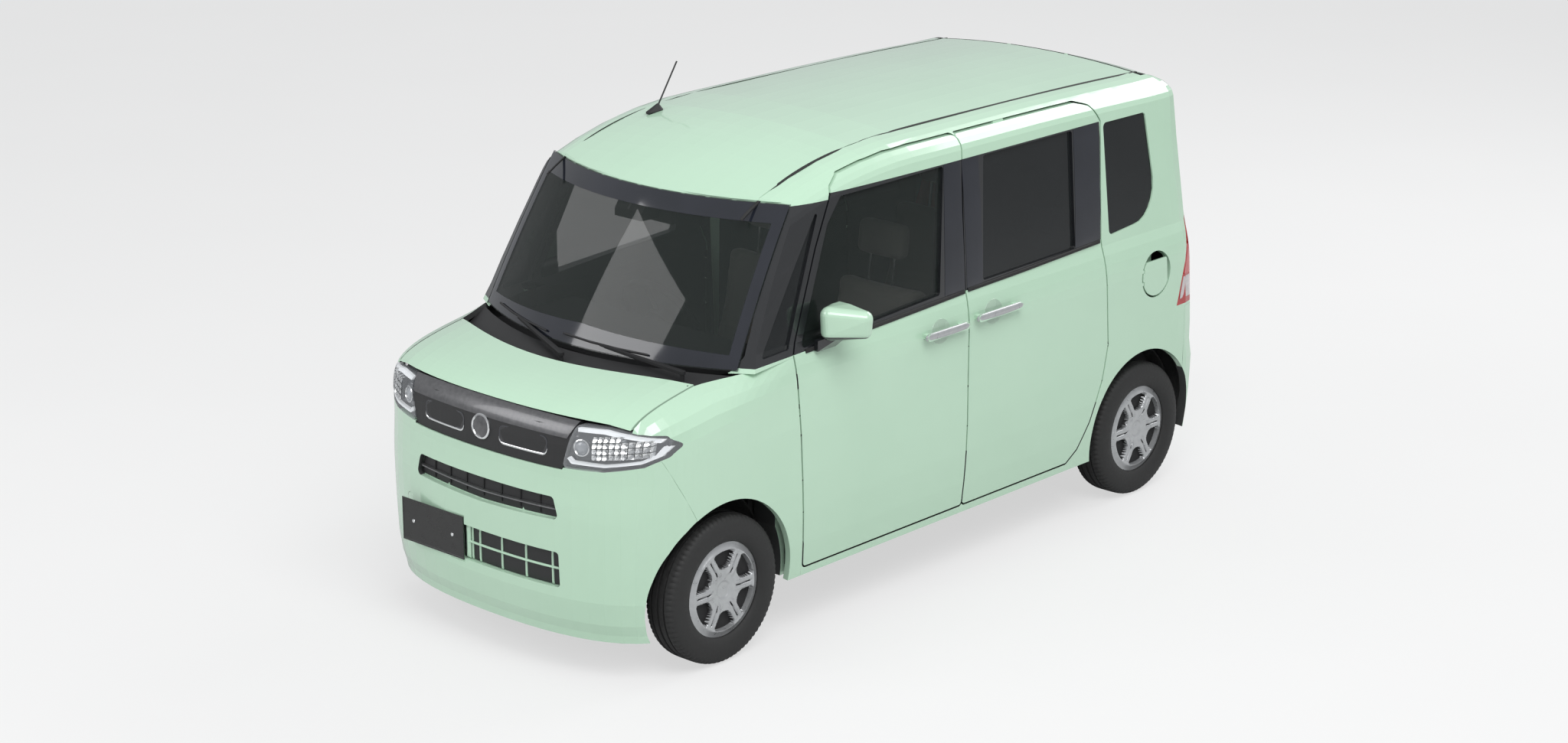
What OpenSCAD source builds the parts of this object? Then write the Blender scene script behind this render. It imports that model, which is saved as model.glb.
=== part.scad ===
// Tall two-box kei car: a pressed body shell with hinged front doors, fixed rear
// sliding doors, bonnet, tailgate and fuel flap, on four wheels with front steering.
// X points forward, Y to the car's left and Z up. The origin is on the floor,
// under the middle of the body.

/* [Overall] */
// Length over the bumpers
body_l = 3395; // [3200:5:3600]
// Width over the body sides, mirrors left out
body_w = 1475; // [1400:5:1560]
// Height of the roof over the floor
body_h = 1755; // [1680:5:1900]
// Distance between the axles
wheelbase = 2460; // [2400:5:2520]
// Front axle to the front of the bumper
front_overhang = 515; // [490:5:540]
// Gap along every shut line
shut_gap = 7; // [6:0.5:9]
// Clearance between fixed pieces that seat on each other
seat_gap = 0.3; // [0.2:0.1:0.8]

/* [Wheels] */
// Outside diameter of a tyre
tyre_d = 557; // [520:1:580]
// Section width of a tyre
tyre_w = 155; // [145:1:165]
// Diameter of the rim where the tyre sits
rim_d = 356; // [330:1:382]
// Distance between the wheels of an axle
track = 1300; // [1270:5:1330]
// Room between the tyre and the edge of a wheel arch
arch_gap = 56.5; // [46.5:1:66.5]
// Radius of the stub axles
stub_r = 14; // [12:0.5:17]
// Running clearance of pins and stub axles
pin_clear = 0.08; // [0.05:0.01:0.1]

/* [Body side] */
// Height of the lower edge of the body
sill_z = 222; // [200:1:240]
// Lower edge of the doors above the sill edge
door_lift = 34; // [26:1:45]
// Height of the belt line below the side windows
belt_z = 1110; // [1080:1:1140]
// Height at which the shoulder below the belt begins
shoulder_z = 950; // [920:1:980]
// How far the shoulder comes in up to the belt
shoulder_in = 25; // [15:1:35]
// How far the sill tucks in under the doors
sill_tuck = 20; // [10:1:28]
// Inward lean of the window band, per millimetre of height
lean = 0.10; // [0.07:0.005:0.13]
// How far the window band comes in at the windscreen pillars
pillar_in = 34; // [20:1:45]
// Thickness of the doors and walls below the belt
wall_t = 92; // [80:1:100]
// Thickness of the window frames and pillars
frame_t = 34; // [28:1:38]
// Thickness of the window glass
glass_t = 5; // [4:0.5:6]

/* [Doors] */
// Front edge of the front door behind the front axle
door_front = 372; // [362:1:382]
// Shut line between the doors behind the front axle
door_split = 1322; // [1290:1:1350]
// Rear edge of the sliding door behind the front axle
door_rear = 2205; // [2190:1:2220]
// Top edge of the doors below the roof rail
door_top_drop = 33; // [25:1:45]
// Hinge axis of the front door behind its front edge
hinge_back = 38; // [36:1:42]
// Hinge axis of the front door inboard of its skin
hinge_in = 12.5; // [11.5:0.5:12.5]
// Radius of the hinge pins
hinge_pin_r = 4.5; // [4:0.5:5]

/* [Roof and screen] */
// Half distance between the two roof ditches
ditch_y = 500; // [480:1:515]
// Crown of the roof between the ditches
roof_crown = 28; // [15:1:40]
// Thickness of the roof
roof_t = 26; // [18:1:34]
// Front end of the glass at the cowl, ahead of the front axle
screen_foot = 43; // [30:1:55]
// Lean of the windscreen, per millimetre of height
screen_lean = 0.637; // [0.6:0.005:0.67]
// How far the windscreen curves back to its sides
screen_bow = 172; // [150:1:185]
// Height of the lower edge of the windscreen
screen_z = 1050; // [1035:1:1065]

/* [Nose] */
// Height of the bonnet surface over the front axle
bonnet_z = 1083; // [1070:1:1095]
// Fall of the bonnet, per millimetre forward
bonnet_slope = 0.178; // [0.15:0.002:0.2]
// Half width of the bonnet at its side seams
bonnet_half = 602; // [580:1:615]
// Thickness of the bonnet
bonnet_t = 24; // [18:1:30]
// Lower edge of the grille and lamps
grille_z = 777; // [760:1:795]
// Height of the grille panel
grille_h = 178; // [160:1:190]
// Thickness of the bumper skins
bumper_t = 34; // [26:1:40]

/* [Tail] */
// Lower edge of the tailgate
gate_z = 532; // [500:1:560]
// Thickness of the tailgate
gate_t = 46; // [38:1:56]
// Depth of the rounding at the top of the tail
tail_roll = 150; // [135:1:165]
// Diameter of the fuel flap
flap_d = 177; // [150:1:190]

/* [Cabin] */
// Height of the cabin floor
floor_z = 262; // [250:1:275]
// Thickness of the floor
floor_t = 26; // [18:1:34]
// Radius of the steering wheel
wheel_rim_r = 182; // [170:1:195]
// Sideways place of the driver, right of the middle
driver_y = 330; // [310:1:350]

/* [Hidden] */

paint = [0.66, 0.84, 0.72];
black_trim = [0.08, 0.08, 0.09];
half_w = body_w/2;
x_nose = body_l/2;
x_tail = -body_l/2;
x_fa = x_nose - front_overhang;
x_ra = x_fa - wheelbase;
hub_z = tyre_d/2;
arch_r = hub_z + arch_gap;
far = 400;              // reach of a cutting shape past what it cuts
round_fn = 96;

// ---------------------------------------------------------------- surface of the body
wide_z = 600;           // height at which the sides are widest
taper_x = x_fa - 1382;  // where the window band starts to narrow forward
plan_n = 6;             // squareness of the nose in plan, along X
plan_p = 2.27;          // squareness of the nose in plan, along Y
top_q = 9.43;           // squareness of the bonnet edge
nose_foot_z = 650;      // height at which the bonnet rounding starts
nose_root_x = x_fa - 277;   // where the nose rounding starts
nose_face = 10;         // how far the grille stands behind the bumper
blend_rear_x = x_fa - door_front;   // the door surface gives way to the nose surface from here
blend_front_x = x_fa;               // to here
rail_h = 86;            // height of the rounding from the side to the roof
rail_turn = 80;         // angle that the rounding covers, in degrees
tail_reach = 250;       // length of the rounding from the side to the tail
tail_n = 6;             // squareness of the tail in plan
tail_lean = 0.08;       // forward lean of the tail above the bumper
tail_roll_z = body_h - 155;     // height at which the tail rounds into the roof
tail_turn = 84;         // angle that this rounding covers
tail_edge = 0.85;       // half width of the tailgate as a share of the body

function sq(a) = a*a;
function clamp(a) = min(max(a, 0), 1);
function ease(a) = let (u = clamp(a)) u*u*(3 - 2*u);
function mix(a, b, t) = a + (b - a)*t;
function steps(a, b, n) = [for (i = [0:n]) mix(a, b, i/n)];

function low_tuck(z) = z < wide_z ? sill_tuck*sq((wide_z - z)/(wide_z - sill_z)) : 0;

// Roof height, along the middle and at any place between the ditches
function roof_mid(x) = body_h
    - 163*sq(max(x - x_fa + 1092, 0)/790)
    - 16*sq(max(x_fa - 1640 - x, 0)/985);
function roof_z(x, y) = roof_mid(x) - roof_crown*sq(y/ditch_y);
function rail_z(x) = roof_z(x, ditch_y);

// Half width of the side from the sill to the roof rail
function side_plane(x, z) = half_w - low_tuck(z)
    - shoulder_in*sq(clamp((z - shoulder_z)/(belt_z - shoulder_z)))
    - max(z - belt_z, 0)*lean
    - pillar_in*sq(max(x - taper_x, 0)/916)*clamp((z - 800)/800);
function rail_fill(x, z) = clamp((z - rail_z(x) + rail_h)/rail_h);
function rail_depth(x) = (side_plane(x, rail_z(x)) - ditch_y - seat_gap)/(1 - cos(rail_turn));
function side_mid(x, z) = side_plane(x, z) - rail_depth(x)*(1 - sqrt(1 - sq(rail_fill(x, z))));

// Nose: a rounded box whose top is the bonnet
function nose_x_mid(z) = x_nose - nose_face*ease((z - wide_z)/170) - 30*sq(clamp((300 - z)/135));
function bonnet_base(x) = bonnet_z - bonnet_slope*(x - x_fa);
function top_fill(x, z) = z <= nose_foot_z ? 0
    : pow(clamp((z - nose_foot_z)/(bonnet_base(x) - nose_foot_z)), top_q);
function long_fill(x, z) = x <= nose_root_x ? 0
    : pow(clamp((x - nose_root_x)/(nose_x_mid(z) - nose_root_x)), plan_n);
function nose_y(x, z) = (half_w - low_tuck(z))
    *pow(max(1 - top_fill(x, z) - long_fill(x, z), 0), 1/plan_p);
function nose_x_once(y, z, x) = nose_root_x + (nose_x_mid(z) - nose_root_x)
    *pow(max(1 - pow(abs(y)/(half_w - low_tuck(z)), plan_p) - top_fill(x, z), 0), 1/plan_n);
function nose_x(y, z) = nose_x_once(y, z, nose_x_once(y, z, x_nose - 60));
function bonnet_top(x, y) = nose_foot_z + (bonnet_base(x) - nose_foot_z)
    *pow(max(1 - long_fill(x, nose_foot_z + 200) - pow(abs(y)/half_w, plan_p), 0), 1/top_q);
function side_y(x, z) = let (w = ease((x - blend_rear_x)/(blend_front_x - blend_rear_x)))
    w == 0 ? side_mid(x, z) : w == 1 ? nose_y(x, z) : mix(side_mid(x, z), nose_y(x, z), w);

// Windscreen
screen_top_z = body_h - 160;
screen_bulge = 12;
function screen_x(y, z) = x_fa + screen_foot - (z - screen_z)*screen_lean - screen_bow*sq(y/640)
    + screen_bulge*4*clamp((z - screen_z)/(screen_top_z - screen_z))
        *(1 - clamp((z - screen_z)/(screen_top_z - screen_z)));
function screen_half(z) = mix(651, 611, (z - screen_z)/(screen_top_z - screen_z));

// Tail: the side turns in by a rounding, and the top rolls forward into the roof
roof_rear_x = x_tail + 245;     // rear edge of the roof panel
function tail_fill(z) = clamp((z - tail_roll_z)/(rail_z(roof_rear_x) - tail_roll_z));
function tail_x_mid(z) = x_tail + 17*ease((z - gate_z)/60) + tail_lean*max(z - 700, 0)
    + tail_roll*(1 - sqrt(1 - sq(tail_fill(z)))) + 8*sq(clamp((400 - z)/150));
function tail_root(z) = mix(tail_x_mid(min(z, tail_roll_z)) + tail_reach, roof_rear_x, tail_fill(z));
side_back_x = x_tail + 347;     // the side is straight up to here
function tail_flat(z) = sqrt(1 - sq(rail_fill(side_back_x, z)));
function tail_share(y, z) =
    clamp(1 - (1 - abs(y)/side_mid(side_back_x, z))/max(tail_flat(z), 0.05));
function tail_x(y, z) = tail_root(z)
    - (tail_root(z) - tail_x_mid(z))*pow(1 - pow(tail_share(y, z), tail_n), 1/tail_n);

// Thickness of a side panel at height z
function side_t(z) = mix(wall_t, frame_t, ease((z - belt_z + 55)/55));

// ---------------------------------------------------------------- building blocks
function grid_faces(m, n, at, turned) = [for (i = [0:m - 2], j = [0:n - 2]) each
    let (p = at + i*n + j, q = p + 1, r = p + n, s = r + 1)
    turned ? [[p, r, q], [q, r, s]] : [[p, q, r], [q, s, r]]];
function strip_faces(a, b, turned) = [for (i = [0:len(a) - 2]) each
    turned ? [[a[i], a[i + 1], b[i]], [a[i + 1], b[i + 1], b[i]]]
        : [[a[i], b[i], a[i + 1]], [a[i + 1], b[i], b[i + 1]]]];

// Closed solid between two grids of points. Rows x columns must point outwards.
module slab(outer, inner) {
    m = len(outer);
    n = len(outer[0]);
    deep = m*n;
    first = [for (j = [0:n - 1]) j];
    last = [for (j = first) (m - 1)*n + j];
    left = [for (i = [0:m - 1]) i*n];
    right = [for (i = left) i + n - 1];
    polyhedron(
        concat([for (row = outer) each row], [for (row = inner) each row]),
        concat(grid_faces(m, n, 0, false), grid_faces(m, n, deep, true),
            strip_faces(first, [for (k = first) k + deep], false),
            strip_faces(last, [for (k = last) k + deep], true),
            strip_faces(left, [for (k = left) k + deep], true),
            strip_faces(right, [for (k = right) k + deep], false)));
}

// Point on a skin p(u, v) pushed t below it, along its normal
function under(p, u, v, t) = let (e = 0.01,
    n = cross(p(u + e, v) - p(u - e, v), p(u, v + e) - p(u, v - e))) p(u, v) - t*n/norm(n);
// Grid of points on a skin, t below it
function layer(p, us, vs, t) = [for (u = us) [for (v = vs) under(p, u, v, t)]];

// An outline in X and Z, cut through the left side
module through_side(y0 = 380, y1 = 900) {
    translate([0, y1, 0]) rotate([90, 0, 0]) linear_extrude(y1 - y0) children();
}
// An outline in Y and Z, cut through the front or the tail
module through_front(x0, x1) {
    translate([x0, 0, 0]) rotate([90, 0, 90]) linear_extrude(x1 - x0) children();
}
module rounded(r) offset(r, $fn = 24) offset(delta = -r) children();
module both_sides() {
    children();
    mirror([0, 1, 0]) children();
}
module bar(size) translate([-size[0]/2, -size[1]/2, -size[2]/2]) cube(size);
module along_y(r, y0, y1, fn = round_fn) {
    translate([0, y1, 0]) rotate([90, 0, 0]) cylinder(r = r, h = y1 - y0, $fn = fn);
}

// ---------------------------------------------------------------- outlines in X and Z
door_x = x_fa - door_front;
split_x = x_fa - door_split;
rear_door_x = x_fa - door_rear;
door_z = sill_z + door_lift;
glass_top_z = body_h - 155;
function door_top_z(x) = rail_z(x) - door_top_drop;
function split_at(z) = split_x - 30*sq((z - 800)/800) + (z < 700 ? 18*sq((700 - z)/400) : 0);

module front_door_shape() {
    rounded(14) polygon(concat(
        [[door_x - 37, door_z], [door_x - 3, 950], [door_x, belt_z - 40], [x_fa - 543, 1424]],
        [[x_fa - 655, door_top_z(x_fa - 655) - 22]],
        [for (x = steps(x_fa - 720, split_at(door_top_z(split_x)), 5)) [x, door_top_z(x)]],
        [for (z = steps(door_top_z(split_x), door_z, 9)) if (z < 1690) [split_at(z), z]]));
}
module sliding_door_shape() {
    rounded(14) polygon(concat(
        [for (z = steps(door_z, door_top_z(split_x), 9)) [split_at(z) - shut_gap, z]],
        [for (x = steps(split_x - 60, rear_door_x + 105, 4)) [x, door_top_z(x)]],
        [[rear_door_x + 45, door_top_z(rear_door_x) - 16], [rear_door_x - 2, 1606],
            [rear_door_x + 32, 1143], [rear_door_x, 700], [rear_door_x + 32, 560],
            [rear_door_x + 100, 400], [rear_door_x + 170, 300], [rear_door_x + 235, door_z]]));
}
module front_window_shape() {
    rounded(12) polygon([[door_x - 42, belt_z - 26], [split_at(1120) + 145, belt_z + 12],
        [split_at(1600) + 105, glass_top_z], [x_fa - 690, glass_top_z - 12], [x_fa - 612, 1500]]);
}
module sliding_window_shape() {
    rounded(12) polygon([[split_at(1120) - 110, belt_z + 16], [rear_door_x + 195, belt_z + 26],
        [rear_door_x + 178, glass_top_z], [split_at(1600) - 130, glass_top_z]]);
}
module corner_window_shape() {
    rounded(6) polygon([[x_fa - 352, belt_z - 16], [x_fa - 212, belt_z - 23],
        [x_fa - 556, glass_top_z - 52], [x_fa - 566, glass_top_z - 58]]);
}
module quarter_window_shape() {
    rounded(20) polygon(concat([[rear_door_x - 26, belt_z + 34]],
        [for (a = [0:15:90]) [x_ra + 60 - 138*sin(a), belt_z + 208 - 160*cos(a)]],
        [[x_ra - 42, glass_top_z - 6], [rear_door_x - 22, glass_top_z - 4]]));
}
module tail_lamp_shape(grow = 0) {
    offset(delta = grow) polygon([[x_ra - 209, 764], [x_ra - 278, 1010], [x_ra - 298, 1207],
        [x_tail - far, 1207], [x_tail - far, 764]]);
}
module rear_bumper_shape(grow = 0) {
    offset(delta = grow) polygon([[x_ra - 268, 190], [x_ra - 268, 752], [x_tail - far, 752],
        [x_tail - far, 190]]);
}
fender_rear_x = door_x + shut_gap;
// What the front bumper leaves to the fender
module fender_shape() {
    polygon([[fender_rear_x - 34 + seat_gap, sill_z - far], [fender_rear_x - 34 + seat_gap, sill_z],
        [fender_rear_x - 3 + seat_gap, 950], [fender_rear_x + seat_gap, fender_top_z(fender_rear_x)],
        [fender_rear_x + seat_gap, belt_z], [x_nose, belt_z + far],
        [x_nose, 830], [x_fa + 285, 830], [x_fa + 158, 600], [x_fa + 20, 285], [x_fa + 20, sill_z - far]]);
}

// ---------------------------------------------------------------- skins
// Side of the body: u counts stations from the front to the tail, v rows from the sill to the roof
side_front_x = x_fa - 110;
function side_row_z(v, x) =
    v < 3 ? mix(sill_z, wide_z, v/3) : v < 5 ? mix(wide_z, shoulder_z, (v - 3)/2)
    : v < 9 ? mix(shoulder_z, belt_z, (v - 5)/4) : v < 12 ? mix(belt_z, rail_z(x) - rail_h, (v - 9)/3)
    : rail_z(x) - rail_h*(1 - sin(rail_turn*(v - 12)/6));
tail_turn_max = acos(pow(tail_edge, tail_n/2));
function side_at(z, u, x0) = let (
        turn = max(u - 2, 0)*tail_turn_max, bend = 1 - pow(cos(turn), 2/tail_n),
        x = u <= 1 ? x0 : u <= 2 ? mix(side_back_x, tail_root(z), u - 1)
            : tail_root(z) - (tail_root(z) - tail_x_mid(z))*pow(sin(turn), 2/tail_n))
    [x, side_mid(u <= 1 ? x : side_back_x, z)*(1 - bend*tail_flat(z)), z];
function side_pt(v, u) = let (x0 = mix(side_front_x, side_back_x, clamp(u)))
    side_at(side_row_z(v, x0), u, x0);
function side_u(x) = (x - side_front_x)/(side_back_x - side_front_x);
side_vs = [for (v = [0:18]) v];
side_us = steps(1, 0, 16);
tail_us = [3, 2.85, 2.62, 2.36, 2.14, 2.03, 2, 1.5];
side_skin = function(v, u) side_pt(v, u);
// Inner face of the side. Towards the tail it follows the plan angle; it keeps out of the roof.
function side_in(v, u) = let (p = side_pt(v, u), t = mix(side_t(p[2]), 26, clamp(u - 1)),
    up = rail_turn*max(v - 12, 0)/6, round = 90*max(u - 2, 0),
    q = u <= 1 ? under(side_skin, v, u, -t)
        : p + t*[cos(up)*sin(round), -cos(up)*cos(round), -sin(up)])
    [q[0], max(q[1], ditch_y + seat_gap), q[2]];
module side_shell(us, vs = side_vs) {
    slab(layer(side_skin, vs, us, 0), [for (v = vs) [for (u = us) side_in(v, u)]]);
}

// Nose: u is the angle round the front in degrees, z the height
function nose_pt(u, z) = let (
        w = half_w - low_tuck(z), x0 = (nose_x_mid(z) - nose_root_x)*pow(cos(u), 2/plan_n),
        k0 = max(1 - top_fill(nose_root_x + x0, z), 0.001),
        k = max(1 - top_fill(nose_root_x + x0*pow(k0, 1/plan_n), z), 0.001))
    [nose_root_x + x0*pow(k, 1/plan_n), sign(u)*w*pow(k, 1/plan_p)*pow(abs(sin(u)), 2/plan_p), z];
module nose_shell(us, zs, t0, t1) {
    slab(layer(function(u, z) nose_pt(u, z), us, zs, t0), layer(function(u, z) nose_pt(u, z), us, zs, t1));
}

// Bonnet: u runs from its rear edge to its front edge, v across it
bonnet_front_z = grille_z + grille_h + shut_gap;
function bonnet_rear_x(y) = x_fa + 193 - 160*sq(y/606);
function bonnet_pt(u, v) = let (y = v*bonnet_half, x0 = bonnet_rear_x(y), x1 = nose_x(y, bonnet_front_z),
    x = mix(x0, x1, u*(1.8 - 0.8*u))) [x, y, bonnet_top(x, y)];

// Fenders: they end inwards at the bonnet seam, the cowl and the windscreen pillar
cowl_front_x = x_fa + 36;
cowl_rear_x = x_fa - 136;
function seam_y(x) = bonnet_half + shut_gap + mix(0, 48, clamp((cowl_front_x - x)/(cowl_front_x - cowl_rear_x)));
function fender_top_z(x) = x >= x_fa ? bonnet_top(x, seam_y(x))
    : mix(bonnet_top(x_fa, seam_y(x_fa)), belt_z - 46, (x_fa - x)/door_front);
function fender_pt(u, x) = let (z = mix(sill_z, fender_top_z(x), u*(1.8 - 0.8*u))) [x, side_y(x, z), z];
fender_t = 24;
module fender_layer(us, xs, t0, t1) {
    inner = layer(function(u, x) fender_pt(u, x), us, xs, t1);
    slab(layer(function(u, x) fender_pt(u, x), us, xs, t0),
        [for (row = inner) [for (p = row) [p[0], p[0] > cowl_rear_x ? max(p[1], seam_y(p[0])) : p[1], p[2]]]]);
}

// Tailgate: u runs from its lower edge up and over to the roof, v across it
function gate_half(z) = side_mid(side_back_x, z)*(1 - (1 - tail_edge)*tail_flat(z)) - shut_gap;
function gate_row_z(u) = u < 3 ? mix(gate_z, tail_roll_z, u/3)
    : tail_roll_z + (rail_z(roof_rear_x) - tail_roll_z)*sin(tail_turn*(u - 3)/4);
function gate_pt(u, v) = let (z = gate_row_z(u), y = v*gate_half(z))
    [tail_x(y, z), y, z + roof_crown*(1 - sq(y/ditch_y))*tail_fill(z)];

// Windscreen: u across it, z up
function screen_pt(u, z) = let (y = u*screen_half(z)) [screen_x(y, z), y, z];
module screen_block(us, zs, ahead, behind) {
    slab([for (u = us) [for (z = zs) screen_pt(u, z) + [ahead, 0, 0]]],
        [for (u = us) [for (z = zs) screen_pt(u, z) - [behind, 0, 0]]]);
}
// Everything in front of the glass, and the slot that the glass lies in
module clear_of_screen() {
    screen_block(steps(-1.3, 1.3, 12), steps(screen_z - 120, body_h, 6), 700, 0);
    screen_block(steps(-1.01, 1.01, 12), steps(screen_z - 3, screen_top_z + 3, 5), 20, glass_t + 3*seat_gap);
}

// ---------------------------------------------------------------- wheels, wells and hinges
well_in_front = 400;
well_in_rear = 545;
well_z = 285;
module wheel_wells(grow = 0) {
    both_sides() {
        translate([x_fa, 0, well_z]) along_y(arch_r + grow, well_in_front - grow, half_w + far);
        translate([x_ra, 0, well_z]) along_y(arch_r + grow, well_in_rear - grow, half_w + far);
    }
}

hinge_x = door_x - hinge_back;
hinge_y = side_mid(door_x, 900) - hinge_in;
hinge_zs = [430, 880];
hinge_h = 14;           // height of a hinge eye
hinge_slack = 2;        // play above and below it
hinge_wall = 4;         // wall of a hinge eye
module hinge_eye(r, h) {
    difference() {
        children();
        cylinder(r = r + pin_clear, h = 4*h, center = true, $fn = round_fn);
    }
}
// Body half of a door hinge: an eye round the pin and an arm back to the hinge post
module door_hinge_arm() {
    hinge_eye(hinge_pin_r, hinge_h) union() {
        cylinder(r = hinge_pin_r + hinge_wall, h = hinge_h, center = true, $fn = round_fn);
        rotate([0, 0, -55]) translate([hinge_pin_r + 1, -4, -hinge_h/2]) cube([80, 8, hinge_h]);
    }
}
// What the door leaves free round that arm
module door_hinge_pocket() {
    h = hinge_h + 2*hinge_slack;
    cylinder(r = hinge_pin_r + hinge_wall + 1.5, h = h, center = true, $fn = round_fn);
    linear_extrude(h, center = true)
        polygon([[0, -10], [hinge_back + 20, -98], [hinge_back + 20, hinge_in - 1.5], [0, hinge_in - 2]]);
}
module at_door_hinges() for (z = hinge_zs) translate([hinge_x, hinge_y, z]) children();

// ---------------------------------------------------------------- fixed body
module floor_pan() {
    half = 560;
    house_t = 6;
    tower_z = 800;
    front = door_x + 62;
    color("dimgray") difference() {
        union() {
            translate([x_ra + 400, -half, floor_z]) cube([front - x_ra - 400, 2*half, floor_t]);
            translate([front, -half, floor_z]) cube([24, 2*half, 735]);
            translate([x_ra - 290, -half, floor_z]) cube([24, 2*half, 180]);
            translate([x_ra - 290, -half, 440]) cube([714, 2*half, 24]);
            translate([x_ra + 400, -half, floor_z + floor_t - 1]) cube([24, 2*half, 160]);
            for (s = [-1, 1]) translate([front + 10, s*355 - 30, 430]) cube([x_nose - 110 - front, 60, 90]);
            translate([x_nose - 140, -450, 425]) cube([35, 900, 100]);
            wheel_house(x_fa, well_in_front - 6, 580, house_t);
            wheel_house(x_fa, -580, 6 - well_in_front, house_t);
            wheel_house(x_ra, well_in_rear - 8, 624, house_t);
            wheel_house(x_ra, -624, 8 - well_in_rear, house_t);
            both_sides() {
                translate([strut_top[0], strut_top[1], 560]) cylinder(r = 80, h = tower_z - 560 + 8, $fn = 48);
                translate([-60, 130, floor_z + floor_t - 1]) cube([420, 380, 178.7]);
            }
        }
        wheel_wells();
        both_sides() translate([strut_top[0], strut_top[1], 500]) cylinder(r = 74, h = tower_z - 500, $fn = 48);
        translate([-40, -560, floor_z + floor_t + 1]) cube([360, 1120, 150]);
        tow_eye_hole();
        both_sides() translate([x_ra, 0, hub_z]) along_y(60, 480, 660);
    }
}
tow_eye_r = 9;
tow_eye_at = [x_nose - 105, -430, 475];
module tow_eye_hole() translate(tow_eye_at + [-36, 0, 0]) rotate([0, 90, 0])
    cylinder(r = tow_eye_r, h = 40, $fn = round_fn);
module wheel_house(x, y0, y1, t) {
    translate([x, 0, well_z]) intersection() {
        along_y(arch_r + t, y0, y1);
        translate([-far, y0 - 1, 0]) cube([2*far, y1 - y0 + 2, far]);
    }
}
strut_top = [x_fa - 14, 505, 800];

module body_side_cuts() {
    through_side() offset(delta = shut_gap) front_door_shape();
    through_side() offset(delta = shut_gap) sliding_door_shape();
    through_side() corner_window_shape();
    through_side() quarter_window_shape();
    through_side() tail_lamp_shape(seat_gap);
    through_side() rear_bumper_shape(seat_gap);
    wheel_wells();
    clear_of_screen();
    // room for the front edge of the door as it swings in behind the skin
    translate([hinge_x, hinge_y - 70, hinge_zs[0] - 10]) cube([28, 75.5, 220]);
    translate([roof_rear_x - seat_gap, 0, belt_z]) cube([x_fa - roof_rear_x, ditch_y + seat_gap, body_h]);
    gate_opening();
    // relief at the top rear corner, where roof, side and tailgate meet
    translate([x_tail, 0, rail_z(roof_rear_x) - 38]) cube([roof_rear_x + 8 - x_tail, ditch_y + 46, far]);
}
// Everything between the side edges of the tailgate opening
module gate_opening() {
    zs = concat([gate_z - shut_gap], steps(gate_z, rail_z(roof_rear_x) - 3, 12), [body_h + 20]);
    through_front(x_tail - 50, roof_rear_x + 30) polygon([
        for (z = zs) [gate_half(min(z, rail_z(roof_rear_x) - 3)) + shut_gap, z],
        for (i = [len(zs) - 1:-1:0]) [-gate_half(min(zs[i], rail_z(roof_rear_x) - 3)) - shut_gap, zs[i]]]);
}
module body_side(flap) {
    difference() {
        side_shell(concat(tail_us, side_us));
        body_side_cuts();
        // the front ends at the door and above the fender
        through_side(300) polygon(concat([[fender_rear_x - 31, -far], [side_front_x + far, -far]],
            [for (x = steps(side_front_x + 100, fender_rear_x, 8)) [x, fender_top_z(x) + seat_gap]],
            [[fender_rear_x - 3, 950], [fender_rear_x - 34, sill_z]]));
        if (flap) translate([flap_x, 0, flap_z]) along_y(flap_d/2 + shut_gap + 1, half_w - 60, half_w + far);
    }
    // sill flange that the floor rests on
    translate([x_ra + arch_r + 20, 500, sill_z + 4])
        cube([door_x + 24 - x_ra - arch_r - 20, 140, door_z - shut_gap - sill_z - 6]);
    translate([x_ra + arch_r + 20, 500, sill_z + 4])
        cube([door_x + 24 - x_ra - arch_r - 20, 58, floor_z - seat_gap - sill_z - 4]);
    // hinge post behind the fender, with the hinge arms
    difference() {
        translate([door_x + shut_gap + 2, 566, sill_z + 5]) cube([50, 104, belt_z - 27 - sill_z]);
        wheel_wells(8);
        clear_of_screen();
    }
    at_door_hinges() door_hinge_arm();
    if (flap) flap_lugs();
}
module body_side_left() {
    color(paint) body_side(true);
}
module body_side_right() {
    color(paint) mirror([0, 1, 0]) {
        body_side(false);
        // this side alone has a pillar behind the shut line of its doors
        hull() {
            translate([split_x - 50, 562, sill_z + 8]) cube([70, 36, 40]);
            translate([split_x - 50, 562, belt_z]) cube([70, 36, 40]);
            translate([split_x - 50, 535, rail_z(split_x) - 24]) cube([70, 32, 4]);
        }
    }
}

flap_x = x_ra - 60;
flap_z = 930;
flap_t = 8;
flap_pin_r = 1.5;
flap_pin_in = 3.5;      // hinge axis inside the edge of the flap
flap_pin_x = flap_x + flap_d/2 - flap_pin_in;
flap_pin_y = side_mid(flap_pin_x, flap_z) - flap_t/2;
flap_lug_z = 20;
module flap_lugs() {
    translate([flap_pin_x, flap_pin_y, flap_z]) both_ends() translate([0, 0, flap_lug_z]) difference() {
        translate([-2.5, -3.5, 0]) cube([22, 7, 12]);
        cylinder(r = flap_pin_r + pin_clear, h = 60, center = true, $fn = 48);
    }
}
module both_ends() {
    children();
    mirror([0, 0, 1]) children();
}
flap_us = concat([2, 1.5], side_between(side_back_x, flap_x + 110, 3));
module fuel_flap() {
    color(paint) {
        intersection() {
            slab(layer(side_skin, [3, 4, 5, 6], flap_us, 0), layer(side_skin, [3, 4, 5, 6], flap_us, -flap_t));
            difference() {
                translate([flap_x, 0, flap_z]) along_y(flap_d/2, half_w - 100, half_w + 50);
                translate([flap_pin_x, flap_pin_y, flap_z]) both_ends()
                    translate([-6, -30, flap_lug_z - 2]) cube([30, 60, 16]);
            }
        }
        translate([flap_pin_x, flap_pin_y, flap_z])
            cylinder(r = flap_pin_r, h = 2*flap_lug_z + 26, center = true, $fn = 48);
    }
}

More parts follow.
